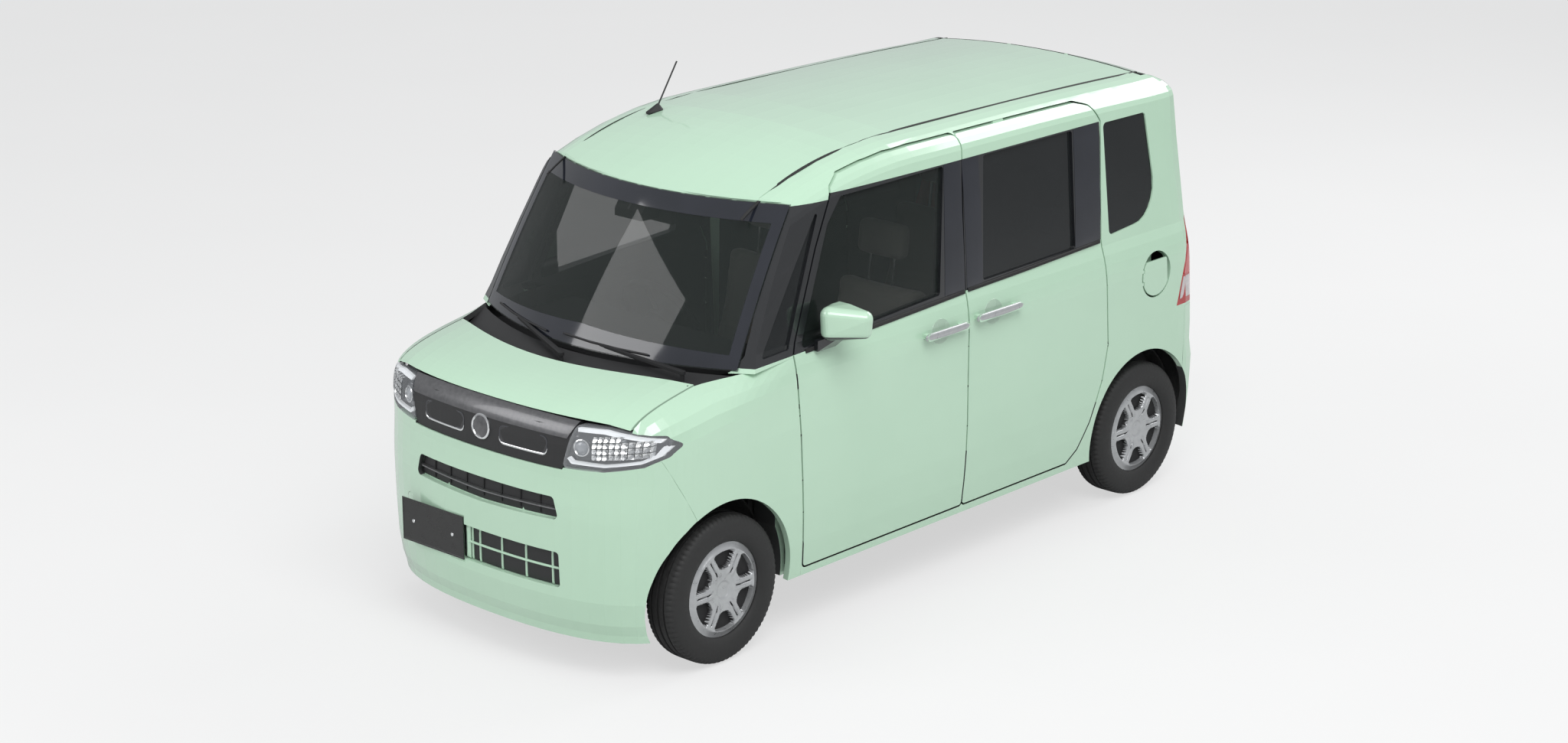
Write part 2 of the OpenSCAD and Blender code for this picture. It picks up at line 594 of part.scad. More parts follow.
// A stretch of the side skin between two places along X, from t0 to t1 below it
module side_shell_part(x0, x1, n, vs, t0, t1) {
    us = [for (x = steps(x0, x1, n)) side_u(x)];
    slab(layer(side_skin, vs, us, -t0), layer(side_skin, vs, us, -t1));
}
function side_between(x0, x1, n) = [for (x = steps(x0, x1, n)) side_u(x)];
door_vs = concat([for (v = [0:12]) v], [13, 14, 15, 15.7]);
window_vs = [7, 8, 9, 10, 11, 12, 13];

module roof_slab(t0, t1) {
    xs = concat(steps(roof_rear_x, x_fa - 900, 8), steps(x_fa - 800, x_fa - 250, 8));
    ys = steps(-ditch_y, ditch_y, 10);
    top = function(x, y) [x, y, roof_z(x, y)];
    slab(layer(top, xs, ys, t0), layer(top, xs, ys, t1));
}
module roof() {
    color(paint) difference() {
        roof_slab(0, roof_t);
        clear_of_screen();
    }
    color(paint) at_gate_hinges() gate_hinge_arm();
}
module windscreen() {
    us = steps(-1, 1, 12);
    zs = steps(screen_z, screen_top_z, 5);
    color([0.45, 0.52, 0.52, 0.5]) screen_block(us, zs, 0, glass_t);
}
module fixed_side_glass() {
    color([0.2, 0.24, 0.25, 0.6]) both_sides() {
        intersection() {
            side_shell_part(x_fa - 640, x_fa - 180, 4, window_vs, 10, 10 + glass_t);
            through_side() offset(delta = -seat_gap) corner_window_shape();
        }
        intersection() {
            side_shell_part(rear_door_x + 170, split_x - 80, 6, window_vs, 12, 12 + glass_t);
            through_side() offset(delta = -seat_gap) sliding_window_shape();
        }
        intersection() {
            side_shell_part(x_ra - 120, rear_door_x + 10, 4, window_vs, 6, 6 + glass_t);
            through_side() offset(delta = -seat_gap) quarter_window_shape();
        }
    }
}

module front_fenders() {
    xs = concat(steps(door_x + shut_gap - 44, x_fa - 136, 5), steps(x_fa - 90, x_fa + 372, 14));
    color(paint) both_sides() difference() {
        intersection() {
            fender_layer(steps(0, 1, 12), xs, 0, fender_t);
            through_side(300) fender_shape();
        }
        wheel_wells();
        through_front(x_fa + 190 - seat_gap, x_nose + 50) offset(delta = seat_gap) head_lamp_shape();
    }
}
lamp_in_y = 384;
module head_lamp_shape() {
    rounded(16) polygon([[lamp_in_y, grille_z + 8], [lamp_in_y + 42, grille_z + 167], [530, grille_z + 167],
        [570, grille_z + 163], [604, grille_z + 155], [690, grille_z + 142], [719, grille_z + 104], [702, grille_z + 66],
        [655, grille_z + 36], [540, grille_z + 14]]);
}
module grille_shape() {
    polygon([[0, grille_z], [lamp_in_y - 4, grille_z], [lamp_in_y + 38, grille_z + grille_h - 9],
        [0, grille_z + grille_h], [-lamp_in_y - 38, grille_z + grille_h - 9], [4 - lamp_in_y, grille_z]]);
}
intake_half = 372;
module intake_shapes() {
    rounded(18) polygon([[-intake_half, 590], [0, 580], [intake_half, 590],
        [intake_half - 24, 672], [24 - intake_half, 672]]);
    rounded(14) polygon([[-intake_half, 336], [intake_half, 336], [intake_half - 4, 468],
        [4 - intake_half, 468]]);
}
plate_y = -263;         // the front plate stands right of the middle
plate_z = 412;
plate_hole_r = 3;
plate_pitch = 210;
module front_bumper() {
    us = steps(-84, 84, 26);
    zs = [146, 175, 215, 300, 400, 500, 560, 600, 650, 700, 745, 790, 835];
    color(paint) difference() {
        union() {
            difference() {
                nose_shell(us, zs, 0, bumper_t);
                intersection() {
                    nose_shell(us, [300, 400, 500, 560, 600, 650, 700], -20, bumper_t - 12);
                    through_front(x_fa, x_nose + 50) intake_shapes();
                }
                through_front(x_fa, x_nose + 50) {
                    offset(delta = seat_gap) grille_shape();
                    polygon([[-lamp_in_y, grille_z - seat_gap], [lamp_in_y, grille_z - seat_gap],
                        [lamp_in_y + 40, 900], [-lamp_in_y - 40, 900]]);
                    for (s = [-1, 1]) polygon([for (p = [[lamp_in_y - 2, grille_z + 60],
                        [lamp_in_y, grille_z + 8 - seat_gap], [540, grille_z + 14 - seat_gap],
                        [655, grille_z + 36 - seat_gap], [702, grille_z + 66], [900, grille_z + 70],
                        [900, 900]]) [s*p[0], p[1]]]);
                }
                both_sides() through_side(300) offset(delta = seat_gap) fender_shape();
                wheel_wells();
                translate([x_nose - 6.5, plate_y - 172, plate_z - 90]) cube([far, 344, 180]);
            }
            translate([x_nose - 60, plate_y - 125, plate_z - 40]) cube([56, 250, 80]);
        }
        for (s = [-1, 1]) translate([x_nose - 40, plate_y + s*plate_pitch/2, plate_z]) rotate([0, 90, 0])
            cylinder(r = plate_hole_r, h = 60, $fn = 32);
        translate([x_nose - 30, tow_eye_at[1], tow_eye_at[2]]) rotate([0, 90, 0])
            cylinder(r = 24, h = 180, center = true, $fn = 48);
    }
}
module grille() {
    color([0.12, 0.12, 0.13]) intersection() {
        nose_shell(steps(-40, 40, 16), steps(grille_z - 12, grille_z + grille_h + 8, 6), 5, bumper_t);
        through_front(x_fa, x_nose + 50) offset(delta = -seat_gap) grille_shape();
    }
}
module headlamps() {
    color([0.75, 0.77, 0.8]) both_sides() difference() {
        intersection() {
            nose_shell(steps(24, 80, 14), steps(grille_z - 8, grille_z + grille_h + 4, 6), 0, 60);
            through_front(x_fa + 190, x_nose + 50) head_lamp_shape();
        }
        wheel_wells(4);
    }
}
module cowl() {
    front = function(v) let (y = v*(bonnet_half + shut_gap - 0.5)) [bonnet_rear_x(y) - 12, y, belt_z - 112];
    rear = function(v) let (y = v*(seam_y(cowl_rear_x) - 8)) [screen_x(y, screen_z) + 14, y, screen_z - 12];
    rows = function(t, v) front(v)*(1 - t) + rear(v)*t;
    vs = steps(-1, 1, 14);
    color(black_trim) {
        difference() {
            slab([for (t = [1, 0.5, 0]) [for (v = vs) rows(t, v)]],
                [for (t = [1, 0.5, 0]) [for (v = vs) rows(t, v) - [0, 0, 60]]]);
            for (p = wiper_spindles) translate(p - [0, 0, 120]) cylinder(r = 8 + seat_gap, h = 140, $fn = 48);
        }
        bonnet_brackets();
        // legs down to the strut towers
        both_sides() translate([strut_top[0], strut_top[1], strut_top[2] + 8 + seat_gap])
            cylinder(r = 18, h = 160, $fn = 32);
    }
}

// A wiper: an arm from its spindle to the middle of a blade that lies along the glass
wiper_spindles = [[x_fa + 8, 520, screen_z - 2], [x_fa + 122, 20, screen_z - 10]];
module wiper(spindle, blade_from, blade_to) {
    blade_at = function(t) let (p = mix(blade_from, blade_to, t)) [screen_x(p[1], p[2]) + 8, p[1], p[2]];
    color(black_trim) {
        hull() {
            translate(spindle) cylinder(r = 12, h = 12, $fn = 24);
            translate(blade_at(0.5) + [7, 0, -2]) cylinder(r = 5, h = 7, $fn = 16);
        }
        for (i = [0:2]) hull() for (k = [i, i + 1]) translate(blade_at(k/3)) sphere(r = 4, $fn = 12);
        translate(spindle - [0, 0, 56]) cylinder(r = 8, h = 58, $fn = 48);
    }
}
module front_wipers() {
    wiper(wiper_spindles[0], [0, 330, screen_z + 26], [0, -60, screen_z + 36]);
    wiper(wiper_spindles[1], [0, -160, screen_z + 26], [0, -520, screen_z + 36]);
}
module antenna() {
    base = [x_fa - 808, -414, 0];
    foot = roof_z(base[0], base[1]);
    color(black_trim) difference() {
        union() {
            hull() {
                translate([base[0] - 20, base[1], foot - 2]) cylinder(r = 20, h = 8, $fn = 24);
                translate([base[0] + 30, base[1], foot - 2]) cylinder(r = 12, h = 6, $fn = 24);
                translate([base[0] - 18, base[1], foot + 22]) sphere(r = 8, $fn = 16);
            }
            translate([base[0] - 18, base[1], foot + 20]) rotate([0, -34, 0])
                cylinder(r = 3.2, h = 190, $fn = 24);
        }
        roof_slab(-seat_gap, roof_t);
    }
}

// ---------------------------------------------------------------- doors
module door_handle(x0, x1, z) {
    vs = [5, 6, 7];
    mid = (x0 + x1)/2;
    intersection() {
        side_shell_part(x0 - 20, x1 + 20, 3, vs, -34, -22);
        through_side() translate([mid, z]) rounded(9) square([x1 - x0, 26], center = true);
    }
    for (x = [x0 + 22, x1 - 22]) intersection() {
        side_shell_part(x0 - 20, x1 + 20, 3, vs, -24, 6);
        through_side() translate([x, z]) square([26, 16], center = true);
    }
}
module front_door() {
    color(paint) {
        difference() {
            intersection() {
                side_shell(side_between(split_x - 50, door_x + 30, 11), door_vs);
                through_side() front_door_shape();
            }
            through_side(300) front_window_shape();
            at_door_hinges() door_hinge_pocket();
            // the inner part of the rear edge stands back so that it swings clear
            through_side(300, half_w - 72) polygon([for (z = steps(0, belt_z - 30, 9)) [split_at(z) - far, z],
                for (z = steps(belt_z - 30, 0, 9)) [split_at(z) + 3, z]]);
        }
        at_door_hinges() cylinder(r = hinge_pin_r, h = hinge_h + 2*hinge_slack + 8, center = true,
            $fn = round_fn);
        door_handle(split_at(990) + 34, split_at(990) + 274, 992);
    }
}
module front_door_glass() {
    color([0.5, 0.58, 0.56, 0.5]) intersection() {
        side_shell_part(split_x + 40, door_x + 10, 8, window_vs, 12, 12 + glass_t);
        through_side() offset(delta = -seat_gap) front_window_shape();
    }
}
mirror_at = [x_fa - 548, half_w + 72, belt_z + 62];
module door_mirror() {
    root_y = side_mid(mirror_at[0] - 20, belt_z - 44) + seat_gap;
    color(paint) hull() {
        translate(mirror_at + [48, -46, 30]) sphere(r = 34, $fn = 24);
        translate(mirror_at + [44, -46, -30]) sphere(r = 34, $fn = 24);
        translate(mirror_at + [-26, 58, 22]) sphere(r = 30, $fn = 24);
        translate(mirror_at + [-30, 52, -26]) sphere(r = 28, $fn = 24);
        translate(mirror_at + [-16, -48, 0]) bar([40, 50, 120]);
    }
    color(black_trim) hull() {
        translate([mirror_at[0] - 20, root_y, belt_z - 44]) cube([96, 18, 40]);
        translate(mirror_at + [-10, -44, -52]) bar([56, 30, 14]);
    }
}
module front_door_left() front_door();
module front_door_right() mirror([0, 1, 0]) front_door();
module front_door_glass_left() front_door_glass();
module front_door_glass_right() mirror([0, 1, 0]) front_door_glass();
module door_mirror_left() door_mirror();
module door_mirror_right() mirror([0, 1, 0]) door_mirror();

module sliding_door() {
    sill_top = door_z - shut_gap + seat_gap;
    color(paint) {
        difference() {
            intersection() {
                side_shell(side_between(rear_door_x - 40, split_x, 12), door_vs);
                through_side() sliding_door_shape();
            }
            through_side(300) sliding_window_shape();
        }
        // rollers on the lower rail, and the catch on the upper one
        for (x = [split_x - 120, split_x - 420])
            translate([x, side_mid(x, door_z) - 70, sill_top]) cube([60, 50, shut_gap + 12]);
        translate([split_x - 350, side_mid(split_x, door_top_z(split_x)) - 40,
            door_top_z(split_x - 350) - 14]) cube([60, 28, 14 + shut_gap - seat_gap - 1]);
        door_handle(split_at(1000) - 292, split_at(1000) - 26, 1002);
    }
}
module sliding_door_left() sliding_door();
module sliding_door_right() mirror([0, 1, 0]) sliding_door();

// ---------------------------------------------------------------- bonnet
bonnet_pin_r = 4;
bonnet_hinge_y = bonnet_half - 17;
bonnet_hinge_x = bonnet_rear_x(bonnet_hinge_y) + 10;
bonnet_hinge_z = bonnet_top(bonnet_hinge_x, bonnet_hinge_y) - 12;
module at_bonnet_hinges() both_sides()
    translate([bonnet_hinge_x, bonnet_hinge_y, bonnet_hinge_z]) rotate([90, 0, 0]) children();
module bonnet() {
    us = steps(0, 1, 12);
    vs = steps(-1, 1, 16);
    outer = layer(function(u, v) bonnet_pt(u, v), us, vs, 0);
    inner = layer(function(u, v) bonnet_pt(u, v), us, vs, bonnet_t);
    color(paint) {
        difference() {
            slab(outer, [for (i = [0:len(us) - 1]) [for (j = [0:len(vs) - 1])
                [inner[i][j][0], outer[i][j][1], max(inner[i][j][2], outer[len(us) - 1][j][2] + 1)]]]);
            at_bonnet_hinges() {
                cylinder(r = bonnet_pin_r + 6, h = 20, center = true, $fn = 48);
                linear_extrude(20, center = true) polygon([[-60, -40], [14, -40], [14, 4], [-60, 4]]);
            }
        }
        at_bonnet_hinges() cylinder(r = bonnet_pin_r, h = 24, center = true, $fn = round_fn);
    }
}
// Hinge brackets of the bonnet, on the cowl
module bonnet_brackets() {
    at_bonnet_hinges() hinge_eye(bonnet_pin_r, 12) union() {
        cylinder(r = bonnet_pin_r + 4, h = 12, center = true, $fn = 48);
        translate([-1, -72, -6]) cube([10, 68, 12]);
        translate([-34, -72, -6]) cube([43, 14, 12]);
    }
}

// ---------------------------------------------------------------- tail
gate_pin_r = 4;
gate_hinge_y = 150;
gate_hinge_x = roof_rear_x - 25;
gate_hinge_z = roof_z(roof_rear_x, gate_hinge_y) - 13;
module at_gate_hinges() both_sides()
    translate([gate_hinge_x, gate_hinge_y, gate_hinge_z]) rotate([90, 0, 0]) children();
// Roof half of a tailgate hinge
module gate_hinge_arm() {
    hinge_eye(gate_pin_r, 14) union() {
        cylinder(r = gate_pin_r + 4, h = 14, center = true, $fn = 48);
        translate([2, -16, -7]) cube([36, 14, 14]);
        translate([24, -16, -7]) cube([14, 12, 14]);
    }
}
window_half = 500;
module gate_window_shape() {
    rounded(40) polygon([[-window_half - 26, belt_z + 60], [window_half + 26, belt_z + 60],
        [window_half - 30, tail_roll_z - 40], [30 - window_half, tail_roll_z - 40]]);
}
module gate_shell(t0, t1) {
    us = [0, 0.5, 1, 1.4, 1.62, 1.75, 2, 2.5, 3, 4, 5, 6, 7];
    vs = steps(-1, 1, 14);
    at = function(t) let (deep = layer(function(u, v) gate_pt(u, v), us, vs, t))
        [for (i = [0:len(us) - 1]) [for (j = [0:len(vs) - 1])
            [deep[i][j][0], gate_pt(us[i], vs[j])[1], deep[i][j][2]]]];
    slab(at(t0), at(t1));
}
module tailgate() {
    color(paint) difference() {
        gate_shell(0, gate_t);
        through_front(x_tail - 50, x_tail + 400) gate_window_shape();
        at_gate_hinges() {
            cylinder(r = gate_pin_r + 6, h = 18, center = true, $fn = 48);
            linear_extrude(18, center = true) polygon([[0, -60], [60, -60], [60, 40], [0, 40]]);
        }
        for (s = [-1, 1]) translate([x_tail - 10, s*plate_pitch/2, rear_plate_z]) rotate([0, 90, 0])
            cylinder(r = plate_hole_r, h = 120, $fn = 32);
    }
    color(paint) at_gate_hinges() cylinder(r = gate_pin_r, h = 24, center = true, $fn = round_fn);
}
rear_plate_z = 760;
module tailgate_glass() {
    color([0.15, 0.18, 0.18, 0.6]) intersection() {
        gate_shell(8, 8 + glass_t);
        through_front(x_tail - 50, x_tail + 400) offset(delta = -seat_gap) gate_window_shape();
    }
}
module rear_wiper() {
    z = belt_z + 30;
    at = [tail_x(0, z) - 12, 0, z];
    far_end = [tail_x(300, z + 72) - 14, 300, z + 72];
    color(black_trim) {
        hull() {
            translate(at) sphere(r = 12, $fn = 16);
            translate(mix(at, far_end, 0.6)) sphere(r = 6, $fn = 12);
        }
        hull() {
            translate(mix(at, far_end, 0.2) + [4, 0, 0]) sphere(r = 5, $fn = 12);
            translate(far_end) sphere(r = 5, $fn = 12);
        }
    }
}
module tail_lamps() {
    color([0.75, 0.08, 0.06]) both_sides() intersection() {
        side_shell(tail_us);
        difference() {
            through_side() tail_lamp_shape();
            gate_opening();
        }
    }
}
function tail_wrap(z, w) = abs(w) <= 1 ? let (y = w*side_mid(side_back_x, z)*tail_edge) [tail_x(y, z), y, z]
    : let (p = side_at(z, 4 - abs(w), 0)) [p[0], sign(w)*p[1], z];
module rear_bumper() {
    zs = [206, 240, 300, 380, 460, gate_z - shut_gap, 600, 680, 752];
    ends = [for (u = tail_us) if (u < 3) 4 - u];
    ws = concat([for (i = [len(ends) - 1:-1:0]) -ends[i]], steps(-1, 1, 12), ends);
    color(paint) difference() {
        slab(layer(function(z, w) tail_wrap(z, w), zs, ws, 0),
            layer(function(z, w) tail_wrap(z, w), zs, ws, bumper_t));
        translate([x_tail - 50, -gate_half(700) - shut_gap, gate_z - shut_gap])
            cube([far, 2*gate_half(700) + 2*shut_gap, far]);
        both_sides() translate([x_ra - 268, 300, 100]) cube([far, far + 100, 800]);
        wheel_wells();
    }
}

// ---------------------------------------------------------------- cabin
module dashboard() {
    x0 = x_fa - 622;
    over = floor_z + 735 + seat_gap;
    front = door_x + 62 - seat_gap;
    color([0.13, 0.13, 0.14]) difference() {
        union() {
            difference() {
                rotate([90, 0, 0]) linear_extrude(1120, center = true) polygon([[x0, 680], [x0 + 90, 610],
                    [front, 610], [front, over], [x_fa, over], [x_fa, over + 20], [x0 + 130, over + 20],
                    [x0 + 30, over - 30], [x0, over - 90]]);
                screen_block(steps(-1.3, 1.3, 8), steps(screen_z - 300, body_h, 4), 700, 24);
            }
            // steering column
            translate(wheel_at) rotate([0, column_tilt - 90, 0]) translate([0, 0, -260]) cylinder(r = 38, h = 214, $fn = 48);
        }
        translate(wheel_at) rotate([0, column_tilt - 90, 0]) translate([0, 0, -120])
            cylinder(r = column_r + pin_clear, h = 120, $fn = round_fn);
    }
}
wheel_at = [x_fa - 760, -driver_y, 915];
column_tilt = 28;       // climb of the steering column towards the driver
column_r = 12;
module steering_wheel() {
    color([0.1, 0.1, 0.11]) translate(wheel_at) rotate([0, column_tilt - 90, 0]) {
        rotate_extrude($fn = 64) translate([wheel_rim_r, 0]) circle(r = 14, $fn = 20);
        translate([0, 0, -34]) cylinder(r = 58, h = 34, $fn = 48);
        for (a = [0, 120, 240]) rotate([0, 0, a]) translate([30, -16, -14]) cube([wheel_rim_r - 32, 32, 12]);
        translate([0, 0, -110]) cylinder(r = column_r, h = 90, $fn = round_fn);
    }
}
module cabin_mirror() {
    z = screen_top_z - 60;
    color(black_trim) difference() {
        union() {
            translate([screen_x(0, z) - 78, -70, z - 60]) cube([90, 140, 80]);
            translate([screen_x(0, z) - 120, -120, z - 84]) cube([26, 240, 62]);
            translate([screen_x(0, z) - 110, -12, z - 60]) cube([60, 24, 24]);
        }
        screen_block([-0.3, 0, 0.3], steps(screen_z + 200, body_h - 60, 4), 700, glass_t + seat_gap);
    }
}
// A seat seen from its side, extruded across: cushion, back and head restraint
module seat_side(l) {
    rounded(28) polygon([[-60, 0], [l, 0], [l + 30, 70], [l, 130], [120, 120], [60, 180], [-70, 640],
        [-84, 700], [-76, 860], [-150, 860], [-170, 700], [-180, 640], [-80, 60]]);
}
seat_w = 480;
module front_seats() {
    color([0.55, 0.53, 0.5]) both_sides() translate([x_fa - 1225, 54 + seat_w, floor_z + floor_t + 178])
        rotate([90, 0, 0]) linear_extrude(seat_w) seat_side(460);
}
module rear_seat() {
    w = 1060;
    color([0.55, 0.53, 0.5]) translate([x_ra + 205, w/2, 464 + seat_gap]) rotate([90, 0, 0])
        linear_extrude(w) seat_side(420);
}

// ---------------------------------------------------------------- under the body
module engine() {
    color([0.35, 0.36, 0.38]) translate([x_fa - 110, -280, 330 + seat_gap]) cube([390, 560, 480]);
}
ball_at = [x_fa + 2, track/2 - 18, 180];
module front_subframe() {
    color([0.14, 0.14, 0.15]) {
        translate([x_fa - 120, -330, 240]) cube([150, 660, 90]);
        both_sides() {
            translate([x_fa - 105, 285, 322]) cube([60, 60, 107.7]);
            hull() {
                translate([x_fa - 100, 300, 190]) cylinder(r = 24, h = 40, $fn = 24);
                translate([x_fa + 10, 300, 190]) cylinder(r = 24, h = 40, $fn = 24);
                translate([ball_at[0], ball_at[1], ball_at[2] - 24]) cylinder(r = 20, h = 18, $fn = 24);
            }
            translate([x_fa - 100, 300, 225]) cylinder(r = 20, h = 40, $fn = 24);
            translate([x_fa, 300, 225]) cylinder(r = 20, h = 40, $fn = 24);
        }
    }
}
hub_face_y = track/2 + 26;
module knuckle() {
    color([0.3, 0.31, 0.33]) {
        translate([ball_at[0], ball_at[1], ball_at[2] + 6]) cylinder(r = 17, h = 23, $fn = 32);
        hull() {
            translate([x_fa - 30, ball_at[1] - 34, ball_at[2] + 10]) cube([64, 40, 20]);
            translate([x_fa - 30, 570, hub_z + 30]) cube([60, 28, 30]);
        }
        hull() {
            translate([x_fa - 26, 566, hub_z + 30]) cube([52, 30, 30]);
            translate([x_fa - 26, 520, hub_z + 70]) cube([44, 40, 40]);
        }
        translate([x_fa, 0, hub_z]) along_y(stub_r, 585, hub_face_y + 10);
        translate([x_fa, 0, hub_z]) along_y(46, 585, 612);
        slant(strut_low, strut_top, 24, 0.98);
        slant(mix(strut_low, strut_top, 0.55), strut_top, 44, 0.9);
    }
}
strut_low = [x_fa - 4, 534, 330];
// A cylinder from a to a share of the way to b
module slant(a, b, r, share) {
    d = b - a;
    translate(a) rotate([0, acos(d[2]/norm(d)), atan2(d[1], d[0])]) cylinder(r = r, h = norm(d)*share, $fn = 48);
}
module knuckle_left() knuckle();
module knuckle_right() mirror([0, 1, 0]) knuckle();
module rear_axle() {
    color([0.16, 0.16, 0.17]) {
        translate([x_ra + 190, 0, 300]) along_y(34, -500, 500, 48);
        both_sides() {
            hull() {
                translate([x_ra + 330, 478, 300]) cube([40, 44, 60]);
                translate([x_ra - 40, 486, hub_z - 36]) cube([80, 40, 72]);
            }
            translate([x_ra + 330, 470, 300]) cube([44, 60, 139.7]);
            translate([x_ra - 10, 470, 438]) mirror([0, 0, 1]) translate([0, 0, -1.7]) cylinder(r = 48, h = 150, $fn = 48);
            translate([x_ra, 0, hub_z]) along_y(stub_r, 500, hub_face_y + 10);
            translate([x_ra, 0, hub_z]) along_y(46, 520, 560);
        }
    }
}
module fuel_tank() {
    color([0.2, 0.2, 0.21]) translate([-320, -420, floor_z - seat_gap - 84]) cube([620, 520, 84]);
}
module exhaust() {
    z = floor_z - 44;
    color([0.5, 0.5, 0.5]) {
        translate([x_ra - 210, 200, z]) rotate([0, 90, 0]) cylinder(r = 22, h = 2300, $fn = 32);
        translate([x_ra - 330, -180, z - 28]) cube([130, 560, 56]);
        for (x = [x_ra + 500, x_fa - 700]) translate([x, 192, z]) cube([24, 16, floor_z - seat_gap - z]);
    }
}

module wheel_profile() {
    r = rim_d/2;
    polygon([[stub_r + pin_clear, -10], [60, -10], [66, 14], [r - 20, 22], [r - 12, -60], [r, -68],
        [r, tyre_w/2 - 12], [r - 30, tyre_w/2 - 14], [60, 46], [stub_r + pin_clear, 46]]);
}
module wheel(x) {
    color([0.78, 0.79, 0.8]) translate([x, track/2, hub_z]) rotate([-90, 0, 0]) difference() {
        rotate_extrude($fn = round_fn) wheel_profile();
        for (a = [0:60:300]) rotate([0, 0, a + 30]) translate([118, 0, -20]) cylinder(r = 22, h = 120, $fn = 32);
    }
}
module tyre(x) {
    color([0.07, 0.07, 0.075]) translate([x, track/2, hub_z]) rotate([-90, 0, 0]) rotate_extrude($fn = round_fn)
        translate([rim_d/2 + 0.1, 0]) rounded(18) polygon([[0, -56], [30, -tyre_w/2], [70, -tyre_w/2 + 8],
            [(tyre_d - rim_d)/2 - 0.1, -56], [(tyre_d - rim_d)/2 - 0.1, 56], [70, tyre_w/2 - 8],
            [30, tyre_w/2], [0, 56]]);
}
module wheel_front_left() wheel(x_fa);
module wheel_front_right() mirror([0, 1, 0]) wheel(x_fa);
module wheel_rear_left() wheel(x_ra);
module wheel_rear_right() mirror([0, 1, 0]) wheel(x_ra);
module tyre_front_left() tyre(x_fa);
module tyre_front_right() mirror([0, 1, 0]) tyre(x_fa);
module tyre_rear_left() tyre(x_ra);
module tyre_rear_right() mirror([0, 1, 0]) tyre(x_ra);

floor_pan();
body_side_left();
body_side_right();
roof();
windscreen();
fixed_side_glass();
front_fenders();
front_bumper();
grille();
headlamps();
cowl();
front_wipers();
antenna();
sliding_door_left();
sliding_door_right();
rear_bumper();
tail_lamps();
dashboard();
cabin_mirror();
front_seats();
rear_seat();
engine();
front_subframe();
rear_axle();
fuel_tank();
exhaust();
bonnet();
tailgate();
tailgate_glass();
rear_wiper();
fuel_flap();
front_door_left();
front_door_glass_left();
door_mirror_left();
front_door_right();
front_door_glass_right();
door_mirror_right();
knuckle_left();
knuckle_right();
steering_wheel();
wheel_front_left();
tyre_front_left();
wheel_front_right();
tyre_front_right();
wheel_rear_left();
tyre_rear_left();
wheel_rear_right();
tyre_rear_right();
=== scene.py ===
import math

import bpy
import bmesh
import numpy as np
from mathutils import Matrix, Vector
from mathutils.bvhtree import BVHTree


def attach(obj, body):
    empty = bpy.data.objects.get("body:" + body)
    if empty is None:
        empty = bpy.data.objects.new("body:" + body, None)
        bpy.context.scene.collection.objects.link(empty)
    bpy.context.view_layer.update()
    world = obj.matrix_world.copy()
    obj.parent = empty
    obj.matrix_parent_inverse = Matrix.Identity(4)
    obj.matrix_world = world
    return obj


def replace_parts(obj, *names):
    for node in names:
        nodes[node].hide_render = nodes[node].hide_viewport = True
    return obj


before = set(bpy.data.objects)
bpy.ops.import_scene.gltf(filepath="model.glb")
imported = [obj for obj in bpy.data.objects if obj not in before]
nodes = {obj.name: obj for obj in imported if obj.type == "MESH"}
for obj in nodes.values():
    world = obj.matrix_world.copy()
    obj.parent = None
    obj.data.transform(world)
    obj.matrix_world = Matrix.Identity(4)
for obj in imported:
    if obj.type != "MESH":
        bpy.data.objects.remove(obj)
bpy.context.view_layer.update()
print("frame loaded")

# the camera stands to the front left, a little above the roof
camera = {"place": (8.9975, 8.170, 4.511), "azimuth": 42.53, "elevation": 17.54, "lens": 74.41,
          "sensor": 36.0}


def addCamera(look):
    a, e = math.radians(look["azimuth"]), math.radians(look["elevation"])
    back = Vector((math.cos(a) * math.cos(e), math.sin(a) * math.cos(e), math.sin(e)))
    right = Vector((-math.sin(a), math.cos(a), 0))
    up = back.cross(right)
    cam = bpy.data.objects.new("photoCamera", bpy.data.cameras.new("photoCamera"))
    bpy.context.collection.objects.link(cam)
    turn = Matrix((right, up, back)).transposed().to_4x4()
    cam.matrix_world = Matrix.Translation(look["place"]) @ turn
    cam.data.lens = look["lens"]
    cam.data.sensor_width = look["sensor"]
    cam.data.clip_end = 200
    bpy.context.scene.camera = cam


addCamera(camera)


def nodeTree(name):
    mat = bpy.data.materials.new(name)
    mat.use_nodes = True
    tree = mat.node_tree
    return mat, tree, tree.nodes["Principled BSDF"]


def addNoise(tree, scale, detail=3.0, rough=0.5):
    coord = tree.nodes.new("ShaderNodeTexCoord")
    noise = tree.nodes.new("ShaderNodeTexNoise")
    noise.inputs["Scale"].default_value = scale
    noise.inputs["Detail"].default_value = detail
    noise.inputs["Roughness"].default_value = rough
    tree.links.new(coord.outputs["Object"], noise.inputs["Vector"])
    return noise


def addBump(tree, shader, source, strength, distance):
    bump = tree.nodes.new("ShaderNodeBump")
    bump.inputs["Strength"].default_value = strength
    bump.inputs["Distance"].default_value = distance
    tree.links.new(source, bump.inputs["Height"])
    tree.links.new(bump.outputs["Normal"], shader.inputs["Normal"])


def addRange(tree, source, low, high):
    span = tree.nodes.new("ShaderNodeMapRange")
    span.inputs["From Min"].default_value = 0.3
    span.inputs["From Max"].default_value = 0.7
    span.inputs["To Min"].default_value = low
    span.inputs["To Max"].default_value = high
    tree.links.new(source, span.inputs["Value"])
    return span.outputs["Result"]


def addRamp(tree, source, low, high, shader):
    ramp = tree.nodes.new("ShaderNodeValToRGB")
    ramp.color_ramp.elements[0].position = 0.3
    ramp.color_ramp.elements[1].position = 0.7
    ramp.color_ramp.elements[0].color = (*low, 1)
    ramp.color_ramp.elements[1].color = (*high, 1)
    tree.links.new(source, ramp.inputs["Fac"])
    tree.links.new(ramp.outputs["Color"], shader.inputs["Base Color"])


